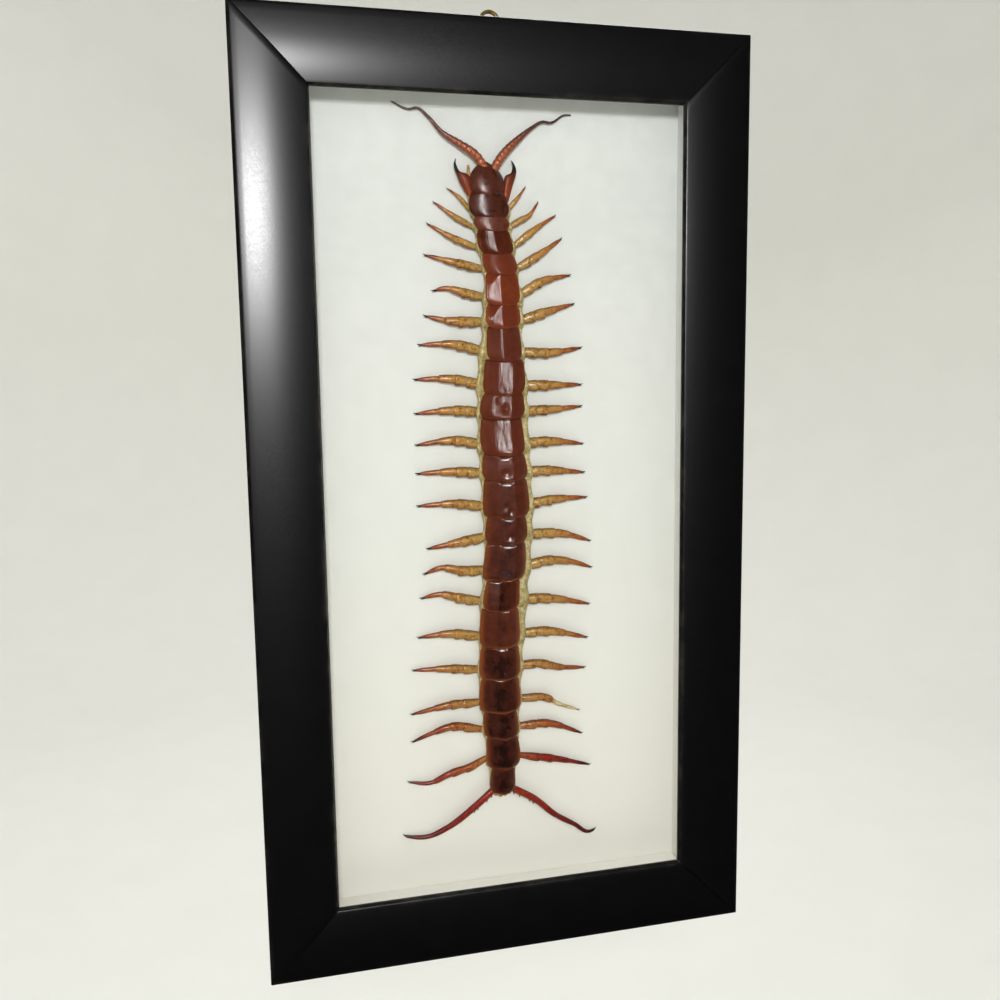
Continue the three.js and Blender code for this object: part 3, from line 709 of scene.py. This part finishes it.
longLimbs = {
    "lastLegs": [
        [[-3.5, -114], [-14, -122.5], [-24, -129.5], [-33, -133], [-39.5, -132.5], [-43, -131.5]],
        [[-1, -114], [12.5, -122.5], [20, -129.5], [29, -135.5], [36, -140], [39.5, -139]],
    ],
    "lastHeights": [3.2, 3.4, 3.0, 2.4, 1.6, 0.8],
    "lastArticles": [0.0, 0.36, 0.58, 0.76, 0.93, 1.0],
    "lastRadii": [(1.4, 1.4), (1.34, 1.2), (1.14, 1.0), (0.96, 0.82), (0.74, 0.5)],
    "lastPinch": 0.03,
    "lastSides": 16,
    "lastShorten": 1.6,  # taken off for the claw
    "lastStart": 0.5,  # share of the colour run at the root
    "lastClaw": (1.5, 0.42, 0.6),  # length, radius and bend
    "spine": (1.5, 0.4, 0),
    "spineStations": (4, 5, 7, 8),
    "antennae": [
        [[-5, 127], [-8, 131.5], [-14.5, 136], [-21, 140], [-26, 145.5], [-30, 148.5], [-33, 148],
         [-39.5, 150.5]],
        [[-2, 127], [1, 131.5], [8.5, 139], [13.5, 143], [18, 145.5], [21, 145.3], [27, 148.5],
         [29.5, 148.6]],
    ],
    "antennaHeights": [3.6, 3.4, 2.8, 2.2, 1.6, 1.2],
    "antennaBeads": 21,
    "antennaSides": 12,
    "antennaFlatness": 0.95,
    "antennaRadii": [1.6, 1.7, 1.6, 1.3, 0.88, 0.6, 0.48, 0.38, 0.25],
    # Fangs from root to tip: left and right edge
    "fangs": [
        [[[-11.1, 116.3], [-9, 116.4]], [[-13, 119.3], [-9, 118.9]], [[-14.5, 121.8], [-9.5, 121.5]],
         [[-15.6, 124.3], [-10.4, 124.2]], [[-16.1, 125.6], [-12, 125.4]], [[-16.5, 126.4], [-14.6, 126.2]],
         [[-16.9, 128.1], [-15.7, 128.1]], [[-16.8, 129.4], [-16.1, 129.4]], [[-16.2, 130.8], [-16, 130.7]]],
        [[[1.5, 116.2], [3.9, 115.7]], [[1.8, 119.3], [5, 119.3]], [[2.1, 122.3], [5.9, 122.2]],
         [[2.6, 124.7], [6.7, 124.5]], [[3.6, 125.6], [7, 125.6]], [[5, 126.2], [7.2, 126.6]],
         [[5.6, 127.9], [7, 128]], [[5.5, 129.4], [6.3, 129.6]], [[5, 130.8], [5.2, 130.9]]],
    ],
    "fangHeight": 2.8,
    "fangFlatness": 0.55,
    "palp": [[-10, 122.5], [-11.3, 125.5], [-11.4, 128.6]],
    "palpRadii": [0.8, 0.8, 0.72, 0.62, 0.5],
    "palpHeights": [2.8, 3.0, 2.8],
    "tailLumps": [[-4.3, -117.6], [-2.5, -118.3], [-0.6, -118.1], [0.9, -117.5]],
    "lumpHeight": 2.6,
    "lumpRadius": 1.1,
    "lumpReach": 1.2,
}
cuticle = {
    "plate": [
        (0.0, "#120402"), (0.1, "#260b04"), (0.3, "#4f2010"), (0.5, "#5c2b1d"), (0.75, "#6c2d18"),
        (1.0, "#7e441a"),
    ],
    "plateMargin": "#a85a26",
    "membrane": ("#78683c", "#a3915c", "#c8bb86"),
    "leg": [(0.0, "#ad9056"), (0.35, "#b28b4c"), (0.62, "#ad7b3d"), (0.8, "#a4602e"), (1.0, "#8f4226")],
    "legRear": [(0.0, "#b07038"), (0.35, "#9a4822"), (0.6, "#8e2616"), (0.88, "#741a12"), (1.0, "#40141e")],
    "legEdgeShade": [(0.0, "#b07c68"), (0.25, "#ffffff"), (0.78, "#ffffff"), (1.0, "#9a8a48")],
    "legPatches": [(0.3, "#9c7c50"), (0.47, "#f4ead8"), (0.55, "#ffffff"), (0.75, "#fff0dc")],
    "legBare": "#d2c394",
    "legJoint": "#5a3217",
    "antenna": [(0.0, "#9c5024"), (0.3, "#86401e"), (0.45, "#642a1c"), (0.65, "#48201c"), (1.0, "#3c1c26")],
    "antennaEdgeShade": [(0.0, "#ffffff"), (0.25, "#ffffff"), (0.8, "#6a4a3a")],
    "antennaJoint": "#46200f",
    "claw": [(0.0, "#84340f"), (0.4, "#602410"), (0.6, "#36140c"), (0.72, "#100808"), (1.0, "#060405")],
}
boardY = nodeBox("backing_board")[0][1]
plateSkin, membraneSkin, legSkin, antennaSkin, clawSkin = range(5)
pointValues = ("tone", "edge", "matt", "film", "reach", "rear", "joint", "bare")


def evenAlong(values, share):
    return np.interp(share, np.linspace(0, 1, len(values)), values)


def smoothThrough(knots, values, where):
    # Cubic through the knots, with each slope taken from its neighbours
    knots, values = np.asarray(knots, float), np.asarray(values, float)
    slopes = np.gradient(values, knots, axis=0)
    i = int(np.clip(np.searchsorted(knots, where) - 1, 0, len(knots) - 2))
    step = knots[i + 1] - knots[i]
    t = np.clip((where - knots[i]) / step, 0, 1)
    return ((2 * t ** 3 - 3 * t ** 2 + 1) * values[i] + (t ** 3 - 2 * t ** 2 + t) * step * slopes[i]
            + (3 * t ** 2 - 2 * t ** 3) * values[i + 1] + (t ** 3 - t ** 2) * step * slopes[i + 1])


bodyLength = sum(plate[0] for plate in backPlates)
plateFronts = [body["front"] - sum(plate[0] for plate in backPlates[:i]) for i in range(len(backPlates))]
middles = [[front - plate[0] / 2, plate[2]] for front, plate in zip(plateFronts, backPlates)]
middles = np.array([[body["front"] + head["length"], head["frontMiddle"]]] + middles)[::-1]
softSides = np.array(body["softSides"])


def bodyAcross(up):
    return smoothThrough(middles[:, 0], middles[:, 1], up)


def topAt(up):
    run = np.clip((body["front"] - up) / bodyLength, 0, 1)
    tailFall, tailFrom = body["tailFall"]
    neckFall, neckFrom = body["neckFall"]
    return body["topHeight"] * (1 - tailFall * max(0, run - tailFrom) - neckFall * max(0, neckFrom - run))


def wobble(x, y, size, seed=0.0):
    return noise.noise(Vector((x / size, y / size, seed)))


shells = []


def addShell(rings, material, **given):
    # Each given value is one number for the shell, or one for each ring, or one for each point
    points, faces = loft(rings)
    count, sides = np.asarray(rings).shape[:2]
    values = {}
    for name in pointValues:
        value = np.asarray(given.get(name, 0), float)
        if value.ndim == 1:
            value = value[:, None]
        values[name] = np.broadcast_to(value, (count, sides)).reshape(-1)
    shells.append((points, outward(points, faces), material, values))


def cornerCut(distance, radius):
    inside = np.clip(radius - distance, 0, radius)
    return radius - np.sqrt(radius ** 2 - inside ** 2)


def plateHalf(index, v):
    # Half width at the share v of a plate's length, with rounded corners
    p, (length, half) = plateShape, backPlates[index][:2]
    tail = index == len(backPlates) - 1
    ahead = p["frontNarrow"] * (1 - ease(v / p["widest"]))
    behind = p["rearNarrow"] * ease((v - p["widest"]) / (1 - p["widest"]))
    bowed = half * (1 - ahead - behind)
    rear = cornerCut(max(0, 1 - v) * length, p["tailCorner" if tail else "rearCorner"])
    return bowed - rear - 0.8 * cornerCut(max(0, v) * length, p["frontCorner"])


def plateHeight(index, u, v, up):
    # Height above the board: each plate rises towards its rear edge and falls away from a flat middle panel
    p = plateShape
    length, half = backPlates[index][:2]
    left, right, tilt, lean, dip = backPlates[index][5:]
    bow = math.radians(p["bowDeg"]) * ((1 - v * v) - 1.2 * (1 - v))
    top = topAt(up) - length * (math.tan(math.radians(lean)) * (0.6 - v) + bow) * (1 - 0.15 * u * u)
    centre, span = (left + right) / 2, max(0.3, (right - left) / 2)
    dip *= 1 - 0.45 * ease(abs(u - centre) / span - 0.3)
    dip += p["skew"].get(index, 0) * ease((centre + span * 0.8 - u) / (span * 1.6))
    top -= p["frontDip"] * (1 - ease(v / dip)) + p["rearDip"] * ease((v - 0.93) / 0.07)
    if left == right:
        return top - p["sideDrop"] * abs(u) ** 2.2
    if u > right:
        share = (u - right) / (1 - right)
        return top - p["sideDrop"] * (0.45 * share + 0.55 * share ** 2)
    steep, gentle = math.tan(math.radians(p["leftFlankDeg"])), math.tan(math.radians(tilt))
    beyond, soft = half * (left - u), p["creaseRound"]
    beyond = max(0, beyond) if abs(beyond) > soft else (beyond + soft) ** 2 / (4 * soft)
    return top - gentle * half * (right - u) - (steep - gentle) * beyond


def plateRelief(index, u, v, up):
    # Unevenness, dents and the two grooves beside the middle panel
    p, (length, half) = plateShape, backPlates[index][:2]
    relief = p["uneven"] * wobble(u * half, up, p["unevenSize"], index * 3.7)
    for plate, across, along, depth, size in p["dents"]:
        if plate == index:
            apart = ((u - across) * half) ** 2 + ((v - along) * length) ** 2
            relief -= depth * math.exp(-apart / size ** 2)
    for crease in set(backPlates[index][5:7]) - {0}:
        groove = math.exp(-(((u - crease) * half / p["grooveWidth"]) ** 2))
        relief -= p["grooveDepth"] * groove * ease(v / 0.1) * ease((1 - v) / 0.06)
    return relief - 0.25 * max(0, (abs(u) - 0.95) / 0.05) ** 2


def makeBackPlates():
    p = plateShape
    under = np.linspace(0.96, -0.96, 9)
    stations = [np.linspace(0, 0.3, 11), np.linspace(0.34, 0.86, 11), [0.91, 0.95, 0.975, 0.99, 1]]
    beside = (-0.05, -0.03, -0.012, 0, 0.012, 0.03, 0.05)
    for index, plate in enumerate(backPlates):
        length, (tone, margin, left, right) = plate[0], plate[3:7]
        creases = [side + step for side in {left, right} - {0} for step in beside]
        across = np.concatenate([np.linspace(-1, 1, 33), [-0.97, -0.985, 0.97, 0.985], creases])
        across = np.unique(np.clip(across, -1, 1).round(4))
        overlap = p["tailOverlap" if index == len(backPlates) - 1 else "overlap"]
        dark = p["darkMiddle"] if index >= p["darkFrom"] else 0
        rings, edges, tones = [], [], []
        for v in np.concatenate(stations):
            up = plateFronts[index] + p["tuck"] - v * (length + p["tuck"] + overlap)
            line, wide = bodyAcross(up), plateHalf(index, v)
            heights = [plateHeight(index, u, v, up) + plateRelief(index, u, v, up) for u in across]
            heights += [plateHeight(index, u, v, up) - p["thickness"] for u in under]
            places = np.concatenate([across, under])
            rings.append([(line + u * wide, boardY - height, up) for u, height in zip(places, heights)])
            ends = max(ease((v - 0.9) / 0.1), ease((0.1 - v) / 0.1))
            edges.append(margin * np.maximum(ease((np.abs(places) - 0.64) / 0.36) ** 1.4, 0.8 * ends))
            tones.append(tone - dark * ease(1.1 - np.abs(places) / 0.55) * ease(v / 0.4))
        film = p["film"].get(index, p["filmElsewhere"])
        addShell(rings, plateSkin, tone=tones, edge=edges, film=film, matt=float(index < p["softGloss"]))


def makeHead():
    # A rounded shield, highest near its rear, with a shallow middle notch between the antennae
    h = head
    across = np.linspace(-1, 1, 31)
    under = np.linspace(0.95, -0.95, 9)
    rings = []
    for v in np.concatenate([[0.004, 0.02, 0.05, 0.1], np.linspace(0.17, 0.9, 14), [0.95, 0.985, 0.999]]):
        up = body["front"] + (1.0 - v) * (h["length"] + h["tuck"]) - h["tuck"]
        half = h["half"] * (1 - abs(2 * v ** 1.4 - 1) ** 2.3) ** (1 / 2.3)
        top = h["top"] - h["frontFall"] * max(0, 0.8 - v) ** 2 - h["rearFall"] * max(0, v - 0.85) ** 1.6
        line = bodyAcross(up)
        ring = []
        for u in across:
            height = top - h["sideFall"] * abs(u) ** 2.4 * (0.4 + 0.6 * half / h["half"])
            notch = math.exp(-(u * half / h["notchWidth"]) ** 2) * ease((0.35 - v) / 0.35)
            height += h["uneven"] * wobble(u * half, up, h["unevenSize"], 91.0) - h["notchDepth"] * notch
            ring.append((line + u * half, boardY - height, up))
        for u in under:
            ring.append((line + u * half, boardY - h["underside"], up))
        rings.append(ring)
    addShell(rings, plateSkin, tone=h["tone"], matt=1.0, film=plateShape["filmElsewhere"])


def makeSoftBody():
    # The membrane follows the plates from below; beside them it bulges, scalloped at the legs and wrinkled
    b = body
    rings = []
    inner = (0, 0.3, 0.55, 0.75, 0.9, 1.0)
    bulge = np.linspace(0, math.pi / 2, 7)[1:]
    for index, plate in enumerate(backPlates):
        half = plateHalf(index, plateShape["widest"]) - 0.4
        for v in np.linspace(0, 1, 14, endpoint=False):
            up = plateFronts[index] - v * plate[0]
            line = bodyAcross(up)
            softLeft, softRight = smoothThrough(softSides[:, 0], softSides[:, 1:], up)
            sink = b["underPlate"] + b["jointSink"] * ease((v - 0.8) / 0.2)
            scallop = b["scallop"] * math.cos(2 * math.pi * (v - legs["root"]))
            flanks = []
            for side, soft in ((1, softRight - line), (-1, line - softLeft)):
                reach = max(half + 0.1, soft + scallop)
                flank = [(half * u, max(0.3, plateHeight(index, side * u, v, up) - sink)) for u in inner]
                fall = max(flank[-1][1] - b["sideHeight"], 0.1)
                for t in bulge:
                    crumple = b["wrinkle"] * wobble(up * 2.2, t * 3, 2.2, 5.0 + side) * math.sin(t)
                    wide = half + (reach - half) * math.sin(t) + crumple
                    hump = b["hump"] * math.sin(2 * t) * min(1, (reach - half) / 3)
                    flank.append((wide, b["sideHeight"] + fall * math.cos(t) + hump))
                for t in bulge:
                    wide = reach * (0.75 + 0.25 * math.cos(t))
                    flank.append((wide, b["sideHeight"] * (1 - math.sin(t)) + 0.15))
                flanks.append([(line + side * x, boardY - height, up) for x, height in flank])
            rings.append(flanks[0] + flanks[1][:0:-1])
    addShell(rings, membraneSkin)


def routeAt(points, heights, shares):
    # Points evenly placed by length along a smooth route over the board
    points = np.asarray(points, float)
    knots = np.concatenate([[0], np.cumsum(np.linalg.norm(np.diff(points, axis=0), axis=1))])
    fine = np.array([smoothThrough(knots, points, k) for k in np.linspace(0, knots[-1], 160)])
    run = np.concatenate([[0], np.cumsum(np.linalg.norm(np.diff(fine, axis=0), axis=1))])
    length, run = run[-1], run / run[-1]
    across, up = (np.interp(shares, run, fine[:, i]) for i in (0, 1))
    return np.stack([across, boardY - evenAlong(heights, shares), up], 1), length


def tubeRings(centres, radii, sides, flatten=0.88, sag=None):
    # sag swells the lower side of each ring by that share of its radius
    centres = np.asarray(centres)
    tangents = np.gradient(centres, axis=0)
    turns = np.linspace(0, 2 * math.pi, sides, endpoint=False)
    sag = np.zeros(len(centres)) if sag is None else sag
    rings = []
    for centre, tangent, radius, lower in zip(centres, tangents, radii, sag):
        tangent = tangent / np.linalg.norm(tangent)
        sideways = np.cross(tangent, (0, -1, 0))
        sideways /= np.linalg.norm(sideways)
        lift = np.cross(sideways, tangent)
        spokes = [math.cos(t) * sideways + flatten * math.sin(t) * lift for t in turns]
        rings.append([centre + radius * spoke * (1 + lower * max(0, -spoke[2])) for spoke in spokes])
    return np.array(rings)


def articleProfile(articles, radii, knobs, pinch):
    # Each article swells below at its far end and pinches a little at the joint
    shares, sizes, joints, sags = [], [], [], []
    for start, end, (near, far), knob in zip(articles, articles[1:], radii, knobs):
        for t in (0.0, 0.03, 0.08, 0.16, 0.3, 0.46, 0.62, 0.76, 0.87, 0.94, 0.98):
            waist = 1 - pinch * (1 - ease(t / 0.14)) - pinch * ease((t - 0.9) / 0.1)
            shares.append(start + t * (end - start))
            sizes.append((near + (far - near) * t) * waist * (1 + 0.04 * math.sin(math.pi * t)))
            joints.append(max(1 - ease(t / 0.1), ease((t - 0.92) / 0.08)))
            sags.append(knob * ease((t - 0.3) / 0.45) * (1 - 0.6 * ease((t - 0.9) / 0.1)))
    return np.array(shares), np.array(sizes), np.array(joints), np.array(sags)


def addClaw(root, direction, length, radius, bend):
    # A curved black claw
    root, direction = np.asarray(root), np.asarray(direction) / np.linalg.norm(direction)
    aside = np.cross(direction, (0, -1, 0))
    steps = np.linspace(0, 1, 7)[:, None]
    sink = np.array((0, 0.2, 0))
    centres = root + direction * length * steps + (aside * bend + sink) * steps ** 2
    steps = steps[:, 0]
    rings = tubeRings(centres, radius * (1.02 - steps) ** 0.7, 8, 1.0)
    addShell(rings, clawSkin, reach=0.55 + 0.45 * steps)


def riseOf(rings, centres):
    # 1 at the upper edge of a tube and -1 at the lower; the leg and antenna materials paint shade along the
    # edges from it
    spokes = rings - centres[:, None]
    return spokes[..., 2] / np.linalg.norm(spokes, axis=2)


def addLimb(points, heights, profile, sides, size=1.0, shorten=0.0, start=0.0, **given):
    shares, sizes, joints, sags = profile
    length = routeAt(points, heights, [0])[1]
    centres = routeAt(points, heights, shares * (1 - shorten / length))[0]
    rings = tubeRings(centres, sizes * size, sides, sag=sags)
    reach = start + (1 - start) * shares
    addShell(rings, legSkin, reach=reach, joint=joints, edge=riseOf(rings, centres), **given)
    return centres, sizes * size


def makeLegs():
    g, main, small = legs, legs["mainClaw"], legs["smallClaw"]
    whole = articleProfile(g["articles"], g["radii"], g["knobs"], g["pinch"])
    broken = articleProfile(g["brokenArticles"], g["brokenRadii"], g["knobs"], g["pinch"])
    count = len(g["left"])
    legSizes = np.ones(count)
    legSizes[:len(g["frontSizes"])] = g["frontSizes"]
    legSizes[count - len(g["rearSizes"]):] = g["rearSizes"]
    for side, (sign, routes) in enumerate(((-1, g["left"]), (1, g["right"]))):
        for index, bends in enumerate(routes):
            rootUp = plateFronts[index] - g["root"] * backPlates[index][0]
            route = [[bodyAcross(rootUp) + sign * g["rootReach"], rootUp]] + bends
            size = legSizes[index]
            isBroken = (side, index) == g["broken"]
            profile = broken if isBroken else whole
            rear = g["redness"][side][index - g["redFrom"]] if index >= g["redFrom"] else 0
            start = g["reddestStart"] if rear == 1 else 0
            bare = isBroken * ease((profile[0] - g["brokenArticles"][2]) / 0.02)
            uneven = [1 + g["uneven"] * wobble(share * 5, index * 1.7, 1.0, side) for share in profile[0]]
            claw = g["clawLength"] * size
            centres, sizes = addLimb(
                route, g["heights"], profile, g["sides"], size * np.array(uneven),
                claw * g["clawStandsOut"], start, rear=rear, bare=bare)
            onward = centres[-1] - centres[-4]
            addClaw(centres[-3], onward, claw, sizes[-2] * main["radius"], sign * main["bend"])
            below, claw = centres[-4] - np.array((0, 0, small["drop"])), claw * small["length"]
            addClaw(below, onward, claw, sizes[-2] * small["radius"], sign * small["bend"])


def makeLongLimbs():
    g = longLimbs
    noKnobs = [0.0] * len(g["lastRadii"])
    profile = articleProfile(g["lastArticles"], g["lastRadii"], noKnobs, g["lastPinch"])
    clawLength, clawRadius, clawBend = g["lastClaw"]
    for sign, points in zip((-1, 1), g["lastLegs"]):
        centres, sizes = addLimb(
            points, g["lastHeights"], profile, g["lastSides"], shorten=g["lastShorten"],
            start=g["lastStart"], rear=1.0)
        addClaw(centres[-2], centres[-1] - centres[-4], clawLength, clawRadius, -sign * clawBend)
        # Dark spines along the inner edge of the first article
        for place in g["spineStations"]:
            along = centres[place + 1] - centres[place]
            along /= np.linalg.norm(along)
            inward = np.cross(along, (0, -1, 0)) * sign
            inward /= np.linalg.norm(inward)
            addClaw(centres[place] + inward * sizes[place] * 0.8, inward * 1.2 + along, *g["spine"])
    beads = g["antennaBeads"]
    for points in g["antennae"]:
        shares, sizes, joints = [], [], []
        for bead in range(beads):
            for t in (0.0, 0.1, 0.3, 0.55, 0.8, 0.93):
                share = (bead + t) / beads
                shares.append(share)
                swell = 0.86 + 0.16 * math.sin(math.pi * t) ** 0.6
                sizes.append(evenAlong(g["antennaRadii"], share) * swell)
                joints.append(1 - ease(min(t, 1 - t) / 0.15))
        centres = routeAt(points, g["antennaHeights"], shares)[0]
        rings = tubeRings(centres, sizes, g["antennaSides"], g["antennaFlatness"])
        addShell(rings, antennaSkin, reach=shares, joint=joints, edge=riseOf(rings, centres))


def makeMouthAndTail():
    g = longLimbs
    turns = np.linspace(0, 2 * math.pi, 18, endpoint=False)
    shares = np.linspace(0, 1, 33)
    for edges in g["fangs"]:
        edges = np.array(edges).reshape(-1, 4)
        stations = np.linspace(0, 1, len(edges))
        rings = []
        for share in shares:
            leftX, leftZ, rightX, rightZ = smoothThrough(stations, edges, share)
            middle = np.array(((leftX + rightX) / 2, boardY - g["fangHeight"], (leftZ + rightZ) / 2))
            reach = np.array(((rightX - leftX) / 2, 0, (rightZ - leftZ) / 2))
            lift = np.array((0, -np.linalg.norm(reach) * g["fangFlatness"], 0))
            rings.append([middle + math.cos(t) * reach + math.sin(t) * lift for t in turns])
        addShell(rings, clawSkin, reach=shares)
    steps = np.linspace(0, 1, 9)
    centres = routeAt(g["palp"], g["palpHeights"], steps)[0]
    addShell(tubeRings(centres, evenAlong(g["palpRadii"], steps), 10, 0.9), legSkin, reach=0.25, edge=0.3)
    # Small soft lumps under the rear edge of the last plate
    for across, up in g["tailLumps"]:
        rise = np.linspace(-1, 1, 9)
        centres = [(across, boardY - g["lumpHeight"], up - g["lumpReach"] * r) for r in rise]
        radii = g["lumpRadius"] * np.sqrt(1.01 - rise ** 2)
        addShell(tubeRings(centres, radii, 12, 0.9), legSkin, reach=0.5)


def dryPlateCuticle():
    # Dried chitin of the back: hard, glossy, dark red-brown, thin and amber at the margins
    material, add, place = startMaterial("dried glossy back plate chitin", {
        "IOR": 1.56, "Specular IOR Level": 0.3})
    mottle = add("TexNoise", {"Vector": place, "Scale": perSize(3.2), "Detail": 5.0, "Distortion": 0.6})
    given = add("Attribute", out="Fac", attribute_name="tone")
    shade = add("MapRange", {"Value": mottle, "From Min": 0.22, "From Max": 0.78, "To Min": -0.12,
        "To Max": 0.13})
    tone = add("Math", {0: given, 1: shade}, operation="ADD")
    ramp = add("ValToRGB", {"Fac": tone}, stops=cuticle["plate"])
    edge = add("Attribute", out="Fac", attribute_name="edge")
    add("MixRGB", {"Fac": edge, "Color1": ramp, "Color2": hexLinear(cuticle["plateMargin"])},
        feeds="Base Color")
    # Polished on the trunk, softer on the head and neck
    matt = add("Attribute", out="Fac", attribute_name="matt")
    polish = add("MapRange", {"Value": matt, "To Min": 0.2, "To Max": 0.29})
    uneven = add("MapRange", {"Value": mottle, "From Min": 0.3, "From Max": 0.7, "To Min": -0.03,
        "To Max": 0.03})
    add("Math", {0: polish, 1: uneven}, operation="ADD", feeds="Roughness")
    # Pores and lengthwise scratches, drawn at 0.5 mm so that they show
    stretch = add("Mapping", {"Vector": place, "Scale": (1.0, 1.0, 0.35)})
    pores = add("TexNoise", {"Vector": stretch, "Scale": perSize(0.5), "Detail": 3.0})
    add("Bump", {"Height": pores, "Strength": 0.3, "Distance": 0.03 * mm}, feeds="Normal")
    # A dry film takes most of the gloss off some plates, in streaks about 1 mm wide
    film = add("Attribute", out="Fac", attribute_name="film")
    drawn = add("Mapping", {"Vector": place, "Scale": (1.0, 1.0, 0.12)})
    streaks = add("TexNoise", {"Vector": drawn, "Scale": perSize(1.0), "Detail": 2.0})
    streaked = add("MapRange", {"Value": streaks, "From Min": 0.35, "From Max": 0.65, "To Min": 1.03,
        "To Max": 0.86})
    taken = add("Math", {0: film, 1: streaked}, operation="MULTIPLY")
    add("MapRange", {"Value": taken, "To Min": 0.5, "To Max": 0.0}, feeds="Specular IOR Level")
    return material


def dryMembrane():
    # Dried joint membrane: dull olive cream, finely wrinkled
    material, add, place = startMaterial("dried joint membrane", {"Roughness": 0.5})
    folds = add("TexNoise", {"Vector": place, "Scale": perSize(1.4), "Detail": 6.0, "Distortion": 1.0})
    dark, middle, light = cuticle["membrane"]
    add("ValToRGB", {"Fac": folds}, stops=[(0.3, dark), (0.5, middle), (0.72, light)], feeds="Base Color")
    add("Bump", {"Height": folds, "Strength": 0.6, "Distance": 0.15 * mm}, feeds="Normal")
    return material


def dryLegCuticle():
    # Dried leg cuticle: glossy amber, red towards the claw, darker at the joints, with painted shade along
    # its upper and lower edges
    material, add, place = startMaterial("dried amber leg cuticle", {
        "IOR": 1.55, "Specular IOR Level": 0.36})
    given = {name: add("Attribute", out="Fac", attribute_name=name) for name in ("reach", "rear",
        "joint", "edge", "bare")}
    mottle = add("TexNoise", {"Vector": place, "Scale": perSize(2.0), "Detail": 4.0})
    shift = add("MapRange", {"Value": mottle, "From Min": 0.3, "From Max": 0.7, "To Min": -0.14,
        "To Max": 0.14})
    where = add("Math", {0: given["reach"], 1: shift}, operation="ADD")
    front = add("ValToRGB", {"Fac": where}, stops=cuticle["leg"])
    back = add("ValToRGB", {"Fac": where}, stops=cuticle["legRear"])
    colour = add("MixRGB", {"Fac": given["rear"], "Color1": front, "Color2": back})
    paled = add("MixRGB", {"Fac": given["bare"], "Color1": colour,
        "Color2": hexLinear(cuticle["legBare"])})
    ringFac = add("Math", {0: given["joint"], 1: 0.12}, operation="MULTIPLY")
    ringed = add("MixRGB", {"Fac": ringFac, "Color1": paled, "Color2": hexLinear(cuticle["legJoint"])})
    # Painted shade along the tube's edges: olive-dark at the upper edge, red-brown at the lower
    height = add("MapRange", {"Value": given["edge"], "From Min": -1.0, "From Max": 1.0})
    edges = add("ValToRGB", {"Fac": height}, stops=cuticle["legEdgeShade"])
    edgeShaded = add("MixRGB", {"Fac": 1.0, "Color1": ringed, "Color2": edges}, blend_type="MULTIPLY")
    # Olive patches where the dried flesh shows through
    flesh = add("TexNoise", {"Vector": place, "Scale": perSize(1.3), "Detail": 5.0, "Distortion": 0.8})
    patches = add("ValToRGB", {"Fac": flesh}, stops=cuticle["legPatches"])
    add("MixRGB", {"Fac": 1.0, "Color1": edgeShaded, "Color2": patches}, blend_type="MULTIPLY",
        feeds="Base Color")
    add("MapRange", {"Value": mottle, "To Min": 0.14, "To Max": 0.36}, feeds="Roughness")
    add("Bump", {"Height": flesh, "Strength": 0.5, "Distance": 0.2 * mm}, feeds="Normal")
    return material


def dryAntennaCuticle():
    # Dried antenna cuticle: satin orange-brown beads that darken to a thread, with painted shade along their
    # upper edge
    material, add, place = startMaterial("dried antenna cuticle", {"IOR": 1.55})
    reach = add("Attribute", out="Fac", attribute_name="reach")
    joint = add("Attribute", out="Fac", attribute_name="joint")
    down = add("TexNoise", {"Vector": place, "Scale": perSize(0.8), "Detail": 3.0})
    colour = add("ValToRGB", {"Fac": reach}, stops=cuticle["antenna"])
    ringFac = add("Math", {0: joint, 1: 0.3}, operation="MULTIPLY")
    ringed = add("MixRGB", {"Fac": ringFac, "Color1": colour,
        "Color2": hexLinear(cuticle["antennaJoint"])})
    # Painted shade: each bead is darkened towards its upper edge
    edge = add("Attribute", out="Fac", attribute_name="edge")
    edges = add("ValToRGB", {"Fac": edge}, stops=cuticle["antennaEdgeShade"])
    add("MixRGB", {"Fac": 1.0, "Color1": ringed, "Color2": edges}, blend_type="MULTIPLY",
        feeds="Base Color")
    add("MapRange", {"Value": down, "To Min": 0.4, "To Max": 0.6}, feeds="Roughness")
    return material


def blackClawCuticle():
    # Hardened fangs and claws: red-brown at the root, tanned almost black towards the point, and polished
    material, add, place = startMaterial("tanned claw cuticle", {"IOR": 1.56, "Specular IOR Level": 0.15})
    reach = add("Attribute", out="Fac", attribute_name="reach")
    cloud = add("TexNoise", {"Vector": place, "Scale": perSize(1.2), "Detail": 3.0})
    shift = add("MapRange", {"Value": cloud, "To Min": -0.1, "To Max": 0.1})
    where = add("Math", {0: reach, 1: shift}, operation="ADD")
    add("ValToRGB", {"Fac": where}, stops=cuticle["claw"], feeds="Base Color")
    add("MapRange", {"Value": reach, "To Min": 0.48, "To Max": 0.25}, feeds="Roughness")
    return material


def makeCentipede():
    makeSoftBody()
    makeBackPlates()
    makeHead()
    makeLegs()
    makeLongLimbs()
    makeMouthAndTail()
    points, faces, materialOf = [], [], []
    values = {name: [] for name in pointValues}
    start = 0
    for shellPoints, shellFaces, material, given in shells:
        points.append(shellPoints)
        faces += [tuple(start + i for i in face) for face in shellFaces]
        materialOf += [material] * len(shellFaces)
        for name in values:
            values[name].append(given[name])
        start += len(shellPoints)
    materials = [dryPlateCuticle(), dryMembrane(), dryLegCuticle(), dryAntennaCuticle(), blackClawCuticle()]
    mesh = makeMesh("dried_centipede", np.concatenate(points), faces, materials, 60)
    mesh.polygons.foreach_set("material_index", materialOf)
    for name, parts in values.items():
        setAttribute(mesh, name, np.concatenate(parts))
    addPiece("dried_centipede", mesh, "dried_cuticle", "centipede")
    print("centipede:", len(shells), "shells,", len(mesh.polygons), "faces")


makeCamera()
makeStudio()
makeMoulding()
dressSheets()
makeFittings()
makeCentipede()
scene.cycles.caustics_refractive = False
scene.cycles.caustics_reflective = False
